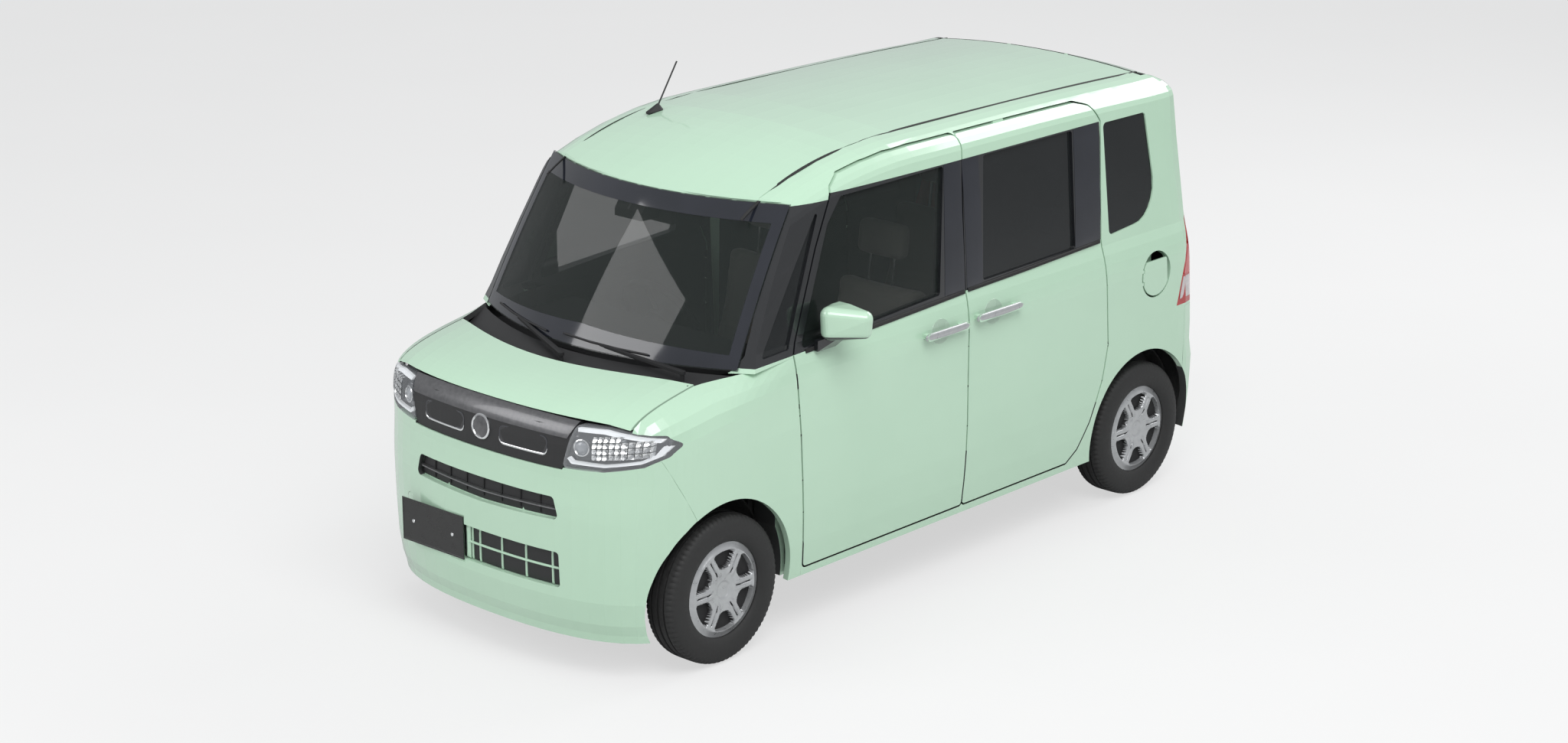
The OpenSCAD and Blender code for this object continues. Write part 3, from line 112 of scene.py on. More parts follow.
def surface(name, low, high, scale, rough=(0.4, 0.5), metallic=0.0, bump=(0.0, 0.0), coat=0.0, detail=3.0,
            transmission=0.0, alpha=1.0, sheen=0.0, glow=0.0):
    mat, tree, shader = nodeTree(name)
    noise = addNoise(tree, scale, detail)
    addRamp(tree, noise.outputs["Fac"], low, high, shader)
    tree.links.new(addRange(tree, noise.outputs["Fac"], *rough), shader.inputs["Roughness"])
    shader.inputs["Metallic"].default_value = metallic
    shader.inputs["Coat Weight"].default_value = coat
    shader.inputs["Coat Roughness"].default_value = 0.04
    shader.inputs["Transmission Weight"].default_value = transmission
    shader.inputs["Alpha"].default_value = alpha
    shader.inputs["Sheen Weight"].default_value = sheen
    if glow:
        shader.inputs["Emission Color"].default_value = (*high, 1)
        shader.inputs["Emission Strength"].default_value = glow
    if bump[0]:
        addBump(tree, shader, noise.outputs["Fac"], *bump)
    return mat


mint = {"dark": (0.455, 0.655, 0.495), "light": (0.47, 0.67, 0.51), "rough": (0.22, 0.27), "coat": 0.8}


def mintPaint(name):
    return surface(name, mint["dark"], mint["light"], 3.0, mint["rough"], coat=mint["coat"])


# mint paint that is black between a sloping line and a height, as the doors are round their windows
def darkBand(name, front, rear, low, slope, high):
    mat = mintPaint(name)
    tree = mat.node_tree
    shader = tree.nodes["Principled BSDF"]
    coord = tree.nodes.new("ShaderNodeTexCoord")
    split = tree.nodes.new("ShaderNodeSeparateXYZ")
    tree.links.new(coord.outputs["Object"], split.inputs["Vector"])

    def step(kind, a, b):
        node = tree.nodes.new("ShaderNodeMath")
        node.operation = kind
        for k, value in enumerate((a, b)):
            if isinstance(value, (int, float)):
                node.inputs[k].default_value = value
            else:
                tree.links.new(value, node.inputs[k])
        return node.outputs["Value"]

    x, z = split.outputs["X"], split.outputs["Z"]
    mask = step("GREATER_THAN", step("ADD", z, step("MULTIPLY", x, slope)), low)
    for extra in (step("LESS_THAN", z, high), step("LESS_THAN", x, front), step("GREATER_THAN", x, rear)):
        mask = step("MULTIPLY", mask, extra)
    source = shader.inputs["Base Color"].links[0].from_socket
    mix = tree.nodes.new("ShaderNodeMix")
    mix.data_type = "RGBA"
    tree.links.new(mask, mix.inputs[0])
    tree.links.new(source, mix.inputs[6])
    mix.inputs[7].default_value = (0.011, 0.012, 0.014, 1)
    tree.links.new(mix.outputs[2], shader.inputs["Base Color"])
    return mat


finish = {
    "doorPaint": darkBand("doorPaint", 2.0, -1.02, 1.1022, 0.03858, 1.606),
    "sidePaint": darkBand("sidePaint", 2.0, 0.5, 1.1022, 0.03858, 1.585),
    "paint": mintPaint("mintPaint"),
    "blackGloss": surface("pillarBlack", (0.012, 0.014, 0.02), (0.016, 0.018, 0.026), 6.0, (0.08, 0.12),
                          coat=0.5),
    "blackPlastic": surface("grainedBlack", (0.012, 0.012, 0.013), (0.02, 0.02, 0.021), 900.0, (0.5, 0.65),
                            bump=(0.25, 0.0004)),
    "seal": surface("sealRubber", (0.008, 0.008, 0.008), (0.014, 0.014, 0.014), 60.0, (0.55, 0.7)),
    # clear glass made near black at 42 % cover: partly its green tint, partly painted shade of the cabin behind
    # it
    "glass": surface("greenGlassAndShade", (0.02, 0.026, 0.024), (0.024, 0.03, 0.028), 2.0, (0.0, 0.01), alpha=0.42),
    "tint": surface("privacyGlass", (0.012, 0.014, 0.015), (0.016, 0.018, 0.019), 2.0, (0.0, 0.01), alpha=0.88),
    "silver": surface("wheelSilver", (0.42, 0.43, 0.44), (0.48, 0.49, 0.50), 40.0, (0.26, 0.36), metallic=0.55,
                      coat=0.3),
    "tyre": surface("tyreRubber", (0.012, 0.012, 0.012), (0.022, 0.022, 0.022), 90.0, (0.6, 0.8),
                    bump=(0.2, 0.001)),
    "under": surface("chassisBlack", (0.012, 0.012, 0.012), (0.025, 0.025, 0.025), 30.0, (0.45, 0.7),
                     bump=(0.1, 0.001)),
    "castMetal": surface("castAlloy", (0.20, 0.20, 0.21), (0.30, 0.30, 0.31), 50.0, (0.4, 0.6), metallic=0.8,
                         bump=(0.2, 0.001)),
    "redLamp": surface("redLens", (0.35, 0.008, 0.008), (0.42, 0.012, 0.012), 20.0, (0.05, 0.1), coat=0.6),
    "lampCover": surface("lampClear", (0.5, 0.52, 0.54), (0.52, 0.54, 0.56), 5.0, (0.0, 0.02), alpha=0.25),
    "chrome": surface("brightTrim", (0.75, 0.76, 0.77), (0.8, 0.81, 0.82), 30.0, (0.08, 0.14), metallic=1.0),
    "fabric": surface("seatCloth", (0.26, 0.245, 0.22), (0.36, 0.34, 0.31), 700.0, (0.8, 0.95),
                      bump=(0.6, 0.0008), sheen=0.4),
    "mesh": surface("slotMesh", (0.02, 0.02, 0.021), (0.045, 0.045, 0.047), 1400.0, (0.4, 0.6),
                    bump=(0.6, 0.001)),
    "gunmetal": surface("gunmetalTrim", (0.10, 0.10, 0.105), (0.13, 0.13, 0.135), 60.0, (0.3, 0.38),
                        metallic=0.6, coat=0.4),
    "chromeDark": surface("satinBar", (0.16, 0.16, 0.165), (0.22, 0.22, 0.225), 60.0, (0.3, 0.4), metallic=0.8),
    "plateBlack": surface("plateBlack", (0.014, 0.014, 0.014), (0.02, 0.02, 0.02), 30.0, (0.25, 0.35)),
    "guide": surface("lightGuide", (0.72, 0.74, 0.76), (0.8, 0.82, 0.84), 20.0, (0.15, 0.25), glow=0.25),
    "lens": surface("projectorLens", (0.25, 0.27, 0.29), (0.4, 0.42, 0.45), 30.0, (0.02, 0.05), coat=1.0),
    # near black for the inward faces of the painted panels: partly dark trim, partly painted shade of the cabin
    # and the panel insides
    "inner": surface("innerTrimAndShade", (0.035, 0.037, 0.037), (0.055, 0.057, 0.057), 500.0, (0.6, 0.8),
                     bump=(0.3, 0.0005)),
    "mirrorPaint": darkBand("mirrorPaint", 2.0, -2.0, -1.4, 0.0, 1.128),
    "clearLens": surface("clearLens", (0.45, 0.42, 0.42), (0.55, 0.52, 0.52), 60.0, (0.05, 0.1), coat=0.8),
    "amberLens": surface("pinkLens", (0.42, 0.03, 0.03), (0.50, 0.04, 0.04), 60.0, (0.05, 0.1), coat=0.8),
    "deepRed": surface("deepRedLens", (0.22, 0.004, 0.005), (0.30, 0.006, 0.007), 90.0, (0.04, 0.08), coat=0.9),
    # near black for the floors of the wheel-cover windows and slits: painted shade of the openings
    "paintedHoleShade": surface("coverShade", (0.008, 0.008, 0.009), (0.014, 0.014, 0.015), 40.0, (0.6, 0.8)),
    # darker mint for the handle cups: painted shade of a recess
    "cupPaintedShade": surface("cupPaintedShade", (0.36, 0.50, 0.39), (0.42, 0.57, 0.45), 12.0, (0.25, 0.3), coat=0.8),
    "dash": surface("dashBlack", (0.016, 0.016, 0.017), (0.026, 0.026, 0.027), 800.0, (0.55, 0.7),
                    bump=(0.3, 0.0004)),
}


def dress(obj, mat):
    obj.data.materials.clear()
    obj.data.materials.append(mat)


def smooth(obj, angle=30):
    bpy.ops.object.select_all(action="DESELECT")
    obj.select_set(True)
    bpy.context.view_layer.objects.active = obj
    bpy.ops.object.shade_smooth_by_angle(angle=math.radians(angle))


nodeFinish = {
    "windscreen": "glass", "front_door_glass_left": "glass", "front_door_glass_right": "glass",
    "fixed_side_glass": "tint", "tailgate_glass": "tint", "grille": "blackPlastic", "cowl": "blackPlastic",
    "antenna": "blackPlastic", "front_wipers": "blackPlastic", "rear_wiper": "blackPlastic",
    "cabin_mirror": "dash",
    "dashboard": "dash", "steering_wheel": "dash", "front_seats": "fabric", "rear_seat": "fabric",
    "headlamps": "lampCover", "tail_lamps": "redLamp", "engine": "castMetal", "front_subframe": "under",
    "rear_axle": "under", "fuel_tank": "under", "exhaust": "castMetal", "floor_pan": "under",
    "knuckle_left": "under", "knuckle_right": "under",
}
for label in ("left", "right"):
    nodeFinish[f"front_door_{label}"] = nodeFinish[f"sliding_door_{label}"] = "doorPaint"
    nodeFinish[f"body_side_{label}"] = "sidePaint"
    nodeFinish[f"door_mirror_{label}"] = "mirrorPaint"
for nodeName, node in nodes.items():
    kind = nodeFinish.get(nodeName)
    if kind is None:
        kind = "tyre" if nodeName.startswith("tyre") else "silver" if nodeName.startswith("wheel_") else "paint"
    dress(node, finish[kind])
    smooth(node)
    if kind in ("paint", "doorPaint", "sidePaint"):
        # inward faces get the near-black material: partly dark trim, partly painted shade
        node.data.materials.append(finish["inner"])
        inward = {"roof": (0, 0, -1), "tailgate": (1, 0, 0), "bonnet": (0, 0, -1)}.get(nodeName)
        for face in node.data.polygons:
            n, c = face.normal, face.center
            if inward:
                hidden = n.dot(Vector(inward)) > 0.35
            elif "door_" in nodeName or "side_" in nodeName:
                inner = n.y * (1 if c.y > 0 else -1)
                hidden = (inner < -0.35 and abs(c.y) > 0.48) or (inner < 0.6 and c.z < 1 and abs(c.y) < 0.705)
            elif nodeName in ("front_bumper", "front_fenders", "rear_bumper"):
                hidden = n.dot(c * Vector((1 if nodeName != "front_fenders" else 0, 1, 0))) < -0.02
            else:
                hidden = False
            if hidden:
                face.material_index = 1
print("frame dressed")

trees = {}


def treeOf(names):
    if names not in trees:
        verts, polys = [], []
        for name in names:
            mesh = nodes[name].data
            base = len(verts)
            verts += [v.co.copy() for v in mesh.vertices]
            polys += [[i + base for i in p.vertices] for p in mesh.polygons]
        trees[names] = BVHTree.FromPolygons(verts, polys)
    return trees[names]


rays = {"left": ((0, 1, 0), lambda a, b: Vector((a, 1.2, b))),
        "right": ((0, -1, 0), lambda a, b: Vector((a, -1.2, b))),
        "front": ((1, 0, 0), lambda a, b: Vector((2.2, a, b))),
        "rear": ((-1, 0, 0), lambda a, b: Vector((-2.2, a, b))),
        "top": ((0, 0, 1), lambda a, b: Vector((a, b, 2.4)))}


def basis(a, b, order):
    return [a ** i * b ** j for i in range(order + 1) for j in range(order + 1 - i)]


def skinPoints(grid, names, way, order=3, reach=0.02, base=None):
    out, start = Vector(rays[way][0]), rays[way][1]
    flat = [p for row in grid for p in row]
    ca = sum(p[0] for p in flat) / len(flat)
    cb = sum(p[1] for p in flat) / len(flat)
    size = max(max(abs(p[0] - ca), abs(p[1] - cb)) for p in flat) or 1
    rows, depth = [], []
    for a, b in (flat if base is None else base):
        found = treeOf(names).ray_cast(start(a, b), -out)
        if found[0] is not None:
            rows.append(basis((a - ca) / size, (b - cb) / size, order))
            depth.append(found[0].dot(out))
    rows, depth = np.array(rows), np.array(depth)
    keep = np.ones(len(depth), bool)
    level = np.percentile(depth, 85)
    keep &= depth > level - 0.25
    for _ in range(6):
        fit = np.linalg.lstsq(rows[keep], depth[keep], rcond=None)[0]
        error = np.abs(rows @ fit - depth)
        keep = error < max(reach, np.percentile(error, 40) * 2)
        reach *= 0.6
    points = []
    for line in grid:
        row = []
        for a, b in line:
            d = float(np.dot(basis((a - ca) / size, (b - cb) / size, order), fit))
            spot = start(a, b)
            row.append(spot + out * (d - spot.dot(out)))
        points.append(row)
    return points, out


def newPiece(name, verts, faces, mat, body, angle=35, node=None):
    mesh = bpy.data.meshes.new(name)
    mesh.from_pydata([tuple(v) for v in verts], [], faces)
    obj = bpy.data.objects.new(name, mesh)
    bpy.context.collection.objects.link(obj)
    work = bmesh.new()
    work.from_mesh(mesh)
    bmesh.ops.remove_doubles(work, verts=work.verts, dist=1e-6)
    bmesh.ops.recalc_face_normals(work, faces=work.faces)
    work.to_mesh(mesh)
    work.free()
    if mat is not None:
        dress(obj, finish[mat])
    smooth(obj, angle)
    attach(obj, body)
    return obj


def slabFaces(rows, cols):
    faces = []
    n = rows * cols
    for i in range(rows - 1):
        for j in range(cols - 1):
            a, b, c, d = i * cols + j, i * cols + j + 1, (i + 1) * cols + j + 1, (i + 1) * cols + j
            faces += [(a, b, c, d), (n + d, n + c, n + b, n + a)]
    for i in range(rows - 1):
        for j in (0, cols - 1):
            a, d = i * cols + j, (i + 1) * cols + j
            faces.append((a, d, n + d, n + a))
    for j in range(cols - 1):
        for i in (0, rows - 1):
            a, b = i * cols + j, i * cols + j + 1
            faces.append((a, b, n + b, n + a))
    return faces


def lerp(a, b, t):
    return a + (b - a) * t


def resample(line, n):
    pts = [Vector((*p, 0)) for p in line]
    lens = [0]
    for p, q in zip(pts, pts[1:]):
        lens.append(lens[-1] + (q - p).length)
    out = []
    for k in range(n):
        s = lens[-1] * k / (n - 1)
        i = max(i for i in range(len(lens) - 1) if lens[i] <= s + 1e-9)
        t = (s - lens[i]) / max(lens[i + 1] - lens[i], 1e-9)
        p = pts[i].lerp(pts[i + 1], min(t, 1))
        out.append((p.x, p.y))
    return out


def patch(lineA, lineB, n=40, m=8):
    a, b = resample(lineA, n), resample(lineB, n)
    return [(lerp(p[0], q[0], k / (m - 1)) / 1000, lerp(p[1], q[1], k / (m - 1)) / 1000) for k in range(m)
            for p, q in zip(a, b)]


def strip(name, lineA, lineB, names, way, mat, body, proud=0.002, depth=0.006, n=24, m=6, soften=0.4,
          order=3, base=None):
    a, b = resample(lineA, n), resample(lineB, n)
    grid = [[(lerp(p[0], q[0], k / (m - 1)) / 1000, lerp(p[1], q[1], k / (m - 1)) / 1000) for p,
             q in zip(a, b)] for k in range(m)]
    points, out = skinPoints(grid, tuple(names), way, order, base=base)
    top, low = [], []
    for k, row in enumerate(points):
        edge = min(k, m - 1 - k)
        for j, p in enumerate(row):
            side = min(j, n - 1 - j)
            drop = soften * proud if min(edge, side) == 0 else 0
            top.append(p + out * (proud - drop))
            low.append(p + out * (proud - depth))
    return newPiece(name, top + low, slabFaces(m, n), mat, body)


sides = (("left", 1), ("right", -1))

# black gloss trims round the side glass
pillarTrim = {"proud": 0.0015, "depth": 0.004}
for side, s in sides:
    door, slide = f"front_door_{side}", f"sliding_door_{side}"
    strip(f"pillar_trim_front_{side}", [(-66, 1606), (-58, 1480), (-40, 1250), (-27, 1112)],
          [(-158, 1606), (-158, 1480), (-152, 1250), (-146, 1112)], [door], side, "blackGloss",
          f"front_door_{side}", **pillarTrim)
    strip(f"pillar_trim_rear_{side}", [(-170, 1606), (-170, 1480), (-164, 1250), (-158, 1112)],
          [(-268, 1606), (-268, 1480), (-262, 1250), (-250, 1112)], [slide], side, "blackGloss",
          "body_shell", **pillarTrim)
    strip(f"pillar_trim_back_{side}", [(-852, 1606), (-850, 1480), (-838, 1250), (-826, 1126)],
          [(-1008, 1606), (-1010, 1480), (-1000, 1250), (-985, 1142)], [slide], side, "blackGloss",
          "body_shell", **pillarTrim)
    strip(f"belt_moulding_front_{side}", [(752, 1080), (400, 1092), (100, 1104), (-140, 1114)],
          [(752, 1066), (400, 1078), (100, 1090), (-140, 1100)], [door], side, "seal", f"front_door_{side}",
          0.006, 0.012)
    strip(f"belt_moulding_rear_{side}", [(-160, 1116), (-500, 1124), (-985, 1141)],
          [(-160, 1102), (-500, 1110), (-985, 1127)], [slide], side, "seal", "body_shell", 0.006, 0.012)

# the windscreen and its black border, widest at the foot
frit = {"foot": 74, "edge": 40}
edge = lambda z: 651 - 40 * (z - 1050) / 545
glassBase = patch([(-600, 1080), (600, 1080)], [(-570, 1570), (570, 1570)], 20, 10)
screenGlass = strip("windscreen_glass", [(-edge(1052), 1052), (0, 1052), (edge(1052), 1052)],
                    [(-610, 1593), (0, 1593), (610, 1593)], ["windscreen"], "front", "glass", "body_shell",
                    0.0, 0.005, 60, 34, base=glassBase)
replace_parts(screenGlass, "windscreen")
strip("screen_frit_foot", [(-edge(1056) + 3, 1056), (0, 1056), (edge(1056) - 3, 1056)],
      [(-edge(1130) + 3, 1100), (0, 1056 + frit["foot"]), (edge(1130) - 3, 1100)], ["windscreen"], "front",
      "blackGloss", "body_shell", 0.0008, 0.0012, 60, 5, base=glassBase)
strip("screen_frit_head", [(-edge(1530) + 3, 1530), (0, 1532), (edge(1530) - 3, 1530)],
      [(-608, 1591), (0, 1591), (608, 1591)], ["windscreen"], "front", "blackGloss", "body_shell", 0.0008,
      0.0012, 60, 5, base=glassBase)
for label, s in sides:
    strip(f"screen_frit_{label}", [(s * (edge(z) - 2), z) for z in range(1056, 1596, 44)],
          [(s * (edge(z) - frit["edge"]), z) for z in range(1056, 1596, 44)], ["windscreen"], "front",
          "blackGloss", "body_shell", 0.0009, 0.0012, 40, 4, base=glassBase)
    line = [(-1478, s * 500), (-900, s * 500), (0, s * 500), (700, s * 500), (862, s * 500)]
    strip(f"roof_ditch_{label}", [(a, b - 5) for a, b in line], [(a, b + 5) for a, b in line],
          ["roof", f"body_side_{label}"], "top", "seal", "body_shell", 0.0012, 0.006, 60, 3, order=5)
print("side trims made")

# the garnish between the lamps: two slots with bright lower rims and a bare round badge
garnish = {"slotFrom": 92, "slotTo": 318, "slotLow": 822, "slotHigh": 886, "badgeHeight": 858,
           "badgeRadius": 47}


def roundedBox(a0, a1, b0, b1, r, n=6):
    line = []
    for ca, cb, q in ((a1 - r, b1 - r, 0), (a0 + r, b1 - r, 1), (a0 + r, b0 + r, 2), (a1 - r, b0 + r, 3)):
        for k in range(n + 1):
            t = math.radians(90 * (q + k / n))
            line.append((ca + r * math.cos(t), cb + r * math.sin(t)))
    return line


def ringOf(line, grow):
    n = len(line)
    out = []
    for i in range(n):
        p, q = Vector(line[i - 1]), Vector(line[(i + 1) % n])
        d = (q - p).normalized()
        out.append((line[i][0] + d.y * grow, line[i][1] - d.x * grow))
    return out


def circleAt(a, b, r, n=48, stretch=1.0):
    return [(a + r * stretch * math.cos(2 * math.pi * k / n), b + r * math.sin(2 * math.pi * k / n))
            for k in range(n)]


def loops(name, rings, names, way, mat, body, order=3, cap=False, angle=35, base=None):
    grid = [[(a / 1000, b / 1000) for a, b in ring] for ring, _ in rings]
    points, out = skinPoints(grid, tuple(names), way, order, base=base)
    n = len(rings[0][0])
    verts = [p + out * (rings[k][1] / 1000) for k, row in enumerate(points) for p in row]
    faces = []
    for k in range(len(rings) - 1):
        for i in range(n):
            j = (i + 1) % n
            faces.append((k * n + i, k * n + j, (k + 1) * n + j, (k + 1) * n + i))
    if cap:
        faces.append(tuple(range((len(rings) - 1) * n, len(rings) * n)))
        faces.append(tuple(range(n)))
    else:
        for i in range(n):
            j = (i + 1) % n
            faces.append(((len(rings) - 1) * n + i, (len(rings) - 1) * n + j, j, i))
    return newPiece(name, verts, faces, mat, body, angle)


g = garnish
for label, s in sides:
    a0, a1 = sorted((s * g["slotFrom"], s * g["slotTo"]))
    slot = roundedBox(a0, a1, g["slotLow"], g["slotHigh"], 22)
    loops(f"grille_slot_{label}", [(slot, -3), (slot, 1.2), (ringOf(slot, -5), 0.6), (ringOf(slot, -6), -2)],
          ["grille"], "front", "blackGloss", "body_shell")
    loops(f"grille_mesh_{label}", [(ringOf(slot, -5), -4), (ringOf(slot, -5), 0.4)], ["grille"], "front",
          "mesh", "body_shell", cap=True)
    low = [(a, b) for a, b in slot if b < 850]
    low.sort()
    strip(f"grille_rim_{label}", low, [(a, b - 7) for a, b in low], ["grille"], "front", "chrome",
          "body_shell", 0.003, 0.006, 26, 5)
circle = lambda r: circleAt(0, g["badgeHeight"], r)
r = g["badgeRadius"]
loops("badge_ring", [(circle(r), -2), (circle(r), 5), (circle(r - 2), 7), (circle(r - 7), 7),
                     (circle(r - 9), 4), (circle(r - 9), -2)], ["grille"], "front", "chrome", "body_shell", 2)
loops("badge_disc", [(circle(r - 8), -2), (circle(r - 8), 3), (circle(r - 20), 5.5), (circle(4), 6.5)],
      ["grille"], "front", "gunmetal", "body_shell", 2, cap=True)
strip("grille_brow", [(-425, 952), (-200, 958), (0, 960), (200, 958), (425, 952)],
      [(-400, 893), (-200, 896), (0, 897), (200, 896), (400, 893)], ["grille"], "front", "gunmetal",
      "body_shell", 0.0025, 0.006, 60, 8)

# upper intake: black pocket with one grey bar
bumperFace = {"posts": 7, "postStep": 92, "latticeLow": 340, "latticeHigh": 464,
              "latticePosts": (-62, -22, 92, 210, 330)}
pocket = patch([(-350, 600), (0, 592), (350, 600)], [(-338, 662), (0, 662), (338, 662)])
strip("intake_back", [(-366, 593), (0, 584), (366, 593)], [(-346, 669), (0, 669), (346, 669)],
      ["front_bumper"], "front", "blackPlastic", "body_shell", 0.0012, 0.003, 60, 8, base=pocket)
strip("intake_bar", [(-362, 630), (0, 622), (362, 630)], [(-364, 621), (0, 613), (364, 621)],
      ["front_bumper"], "front", "chromeDark", "body_shell", 0.013, 0.015, 60, 5, base=pocket)
for k in range(bumperFace["posts"]):
    y = (k - (bumperFace["posts"] - 1) / 2) * bumperFace["postStep"]
    strip(f"intake_post_{k}", [(y - 3, 597), (y - 3, 664)], [(y + 3, 597), (y + 3, 664)], ["front_bumper"],
          "front", "blackPlastic", "body_shell", 0.007, 0.008, 10, 3, base=pocket)

# lower intake: black back and a body-colour lattice beside the plate
lowerPocket = patch([(-100, 350), (350, 350)], [(-100, 455), (345, 455)])
strip("lower_intake_back", [(-112, 338), (369, 338)], [(-112, 466), (366, 466)], ["front_bumper"], "front",
      "blackPlastic", "body_shell", 0.0052, 0.007, 60, 10, base=lowerPocket)
low, high = bumperFace["latticeLow"], bumperFace["latticeHigh"]
strip("lattice_block", [(-96, low), (-96, high)], [(-72, low), (-72, high)], ["front_bumper"], "front",
      "paint", "body_shell", 0.014, 0.014, 10, 3, base=lowerPocket)
for k, y in enumerate(bumperFace["latticePosts"]):
    strip(f"lattice_post_{k}", [(y - 4, low), (y - 4, high)], [(y + 4, low), (y + 4, high)],
          ["front_bumper"], "front", "paint", "body_shell", 0.012, 0.012, 10, 3, base=lowerPocket)
strip("lattice_bar", [(-96, 398), (364, 398)], [(-96, 407), (364, 407)], ["front_bumper"], "front", "paint",
      "body_shell", 0.014, 0.014, 50, 3, base=lowerPocket)

# blank plates with a rim and two screws
plate = {"width": 330, "height": 165, "screwPitch": 210}


def addPlate(name, x, y, z, out, mat, body):
    w, h = plate["width"] / 2, plate["height"] / 2
    bpy.ops.object.select_all(action="DESELECT")
    bpy.ops.mesh.primitive_cube_add(size=1, location=(0, 0, 0))
    obj = bpy.context.active_object
    obj.name = name
    for v in obj.data.vertices:
        v.co = (v.co.x * 0.0025, v.co.y * w / 500, v.co.z * h / 500)
    bpy.ops.object.mode_set(mode="EDIT")
    bpy.ops.mesh.select_all(action="DESELECT")
    bpy.ops.object.mode_set(mode="OBJECT")
    for face in obj.data.polygons:
        face.select = face.normal.x * out > 0.9
    bpy.ops.object.mode_set(mode="EDIT")
    bpy.ops.mesh.select_mode(type="FACE")
    bpy.ops.mesh.inset(thickness=0.005, depth=0)
    bpy.ops.mesh.inset(thickness=0.0015, depth=-0.0012)
    bpy.ops.object.mode_set(mode="OBJECT")
    obj.data.transform(Matrix.Translation((x, y, z)))
    dress(obj, finish[mat])
    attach(obj, body)
    for k, s in enumerate((-1, 1)):
        bpy.ops.object.select_all(action="DESELECT")
        bpy.ops.mesh.primitive_cylinder_add(vertices=24, radius=0.007, depth=0.005, location=(0, 0, 0),
                                            rotation=(0, math.radians(90), 0))
        screw = bpy.context.active_object
        screw.name = f"{name}_screw_{k}"
        bpy.ops.object.transform_apply(location=False, rotation=True, scale=True)
        bev = screw.modifiers.new("edge", "BEVEL")
        bev.width = 0.0015
        bev.segments = 2
        bpy.ops.object.modifier_apply(modifier="edge")
        screw.data.transform(Matrix.Translation((x + out * 0.0002, y + s * plate["screwPitch"] / 2000, z)))
        dress(screw, finish["chrome"])
        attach(screw, body)


addPlate("front_plate", 1.6948, -0.263, 0.412, 1, "plateBlack", "body_shell")
addPlate("rear_plate", -1.6775, 0, 0.76, -1, "plateBlack", "tailgate")

# a round cap closes the hole of the tow eye
towCap = {"at": (-430, 475), "radius": 23}
capBase = patch([(-520, 430), (-462, 430)], [(-520, 540), (-462, 540)], 8, 10)
capBase += patch([(-462, 506), (-380, 506)], [(-462, 540), (-380, 540)], 8, 5)
capRing = lambda r: circleAt(*towCap["at"], r)
r = towCap["radius"]
loops("tow_cap", [(capRing(r), -8), (capRing(r), -0.6), (capRing(r - 1), 0.2), (capRing(8), 0.3)],
      ["front_bumper"], "front", "paint", "body_shell", 2, cap=True, base=capBase)
print("front dressed")

# headlamps: dark housing, bright guides, projector and reflector behind a clear cover
lamp = {"projectorAt": (452, 866), "facetFrom": 500, "facetStep": (19, 21), "facets": (9, 4)}
for label, s in sides:
    fix = lambda line: [(s * a, b) for a, b in line]
    low = [(394, 792), (540, 799), (650, 820), (694, 846)]
    high = [(430, 936), (530, 938), (600, 926), (700, 905)]
    strip(f"lamp_housing_{label}", fix(low), fix(high), ["headlamps"], "front", "blackGloss", "body_shell",
          -0.024, 0.004, 40, 10)
    strip(f"lamp_guide_low_{label}", fix([(402, 822), (420, 806), (540, 807), (650, 826), (690, 850),
                                          (704, 880)]), fix([(412, 830), (424, 816), (540, 817), (645, 836),
            (678, 856), (690, 884)]), ["headlamps"], "front", "guide", "body_shell", -0.004, 0.012, 50, 4)
    strip(f"lamp_guide_high_{label}", fix([(432, 934), (530, 936), (600, 925), (690, 908)]),
          fix([(436, 922), (530, 924), (600, 914), (684, 898)]), ["headlamps"], "front", "guide",
          "body_shell", -0.004, 0.012, 40, 4)
    circ = lambda r: circleAt(s * lamp["projectorAt"][0], lamp["projectorAt"][1], r, 40)
    loops(f"lamp_projector_ring_{label}", [(circ(31), -22), (circ(31), -9), (circ(27), -7), (circ(23), -14),
                                           (circ(23), -22)], ["headlamps"], "front", "chrome", "body_shell",
          2)
    loops(f"lamp_projector_{label}", [(circ(24), -20), (circ(23), -14), (circ(17), -9), (circ(9), -6.5),
                                      (circ(2), -6)], ["headlamps"], "front", "lens", "body_shell", 2,
          cap=True)
    cols, rows = lamp["facets"]
    for i in range(cols):
        for j in range(rows):
            a0, b0 = lamp["facetFrom"] + i * lamp["facetStep"][0], 832 + j * lamp["facetStep"][1] + i * 2
            a1, b1 = a0 + 17, b0 + 18
            if b1 > 922 - max(0, a1 - 600) * 0.2 or b0 < 824 + max(0, a1 - 560) * 0.22:
                continue
            tile = fix([(a0, b0), (a1, b0)]), fix([(a0, b1), (a1, b1)])
            strip(f"lamp_facet_{label}_{i}_{j}", *tile, ["headlamps"], "front", "chrome", "body_shell",
                  -0.012 - 0.002 * ((i * 7 + j * 3) % 3), 0.008, 3, 3, 1.2)
print("headlamps dressed")

# a wheel cover with six double spokes and six D-shaped windows; the floors of the windows and slits are near
# black, painted shade of the openings
tyreShape = {"radius": 0.2785, "blocks": 80}
cover = {"radius": 0.178, "face": 0.7135, "spokes": 6, "spokeHalf": 0.0215, "windowFrom": 0.082,
         "windowTo": 0.150, "windowDepth": 0.020, "corner": 0.012, "slitHalf": 0.0022, "slitFrom": 0.062,
         "slitTo": 0.140, "rings": 66, "spins": 360}


def smoothStep(e0, e1, x):
    t = np.clip((x - e0) / (e1 - e0), 0, 1)
    return t * t * (3 - 2 * t)


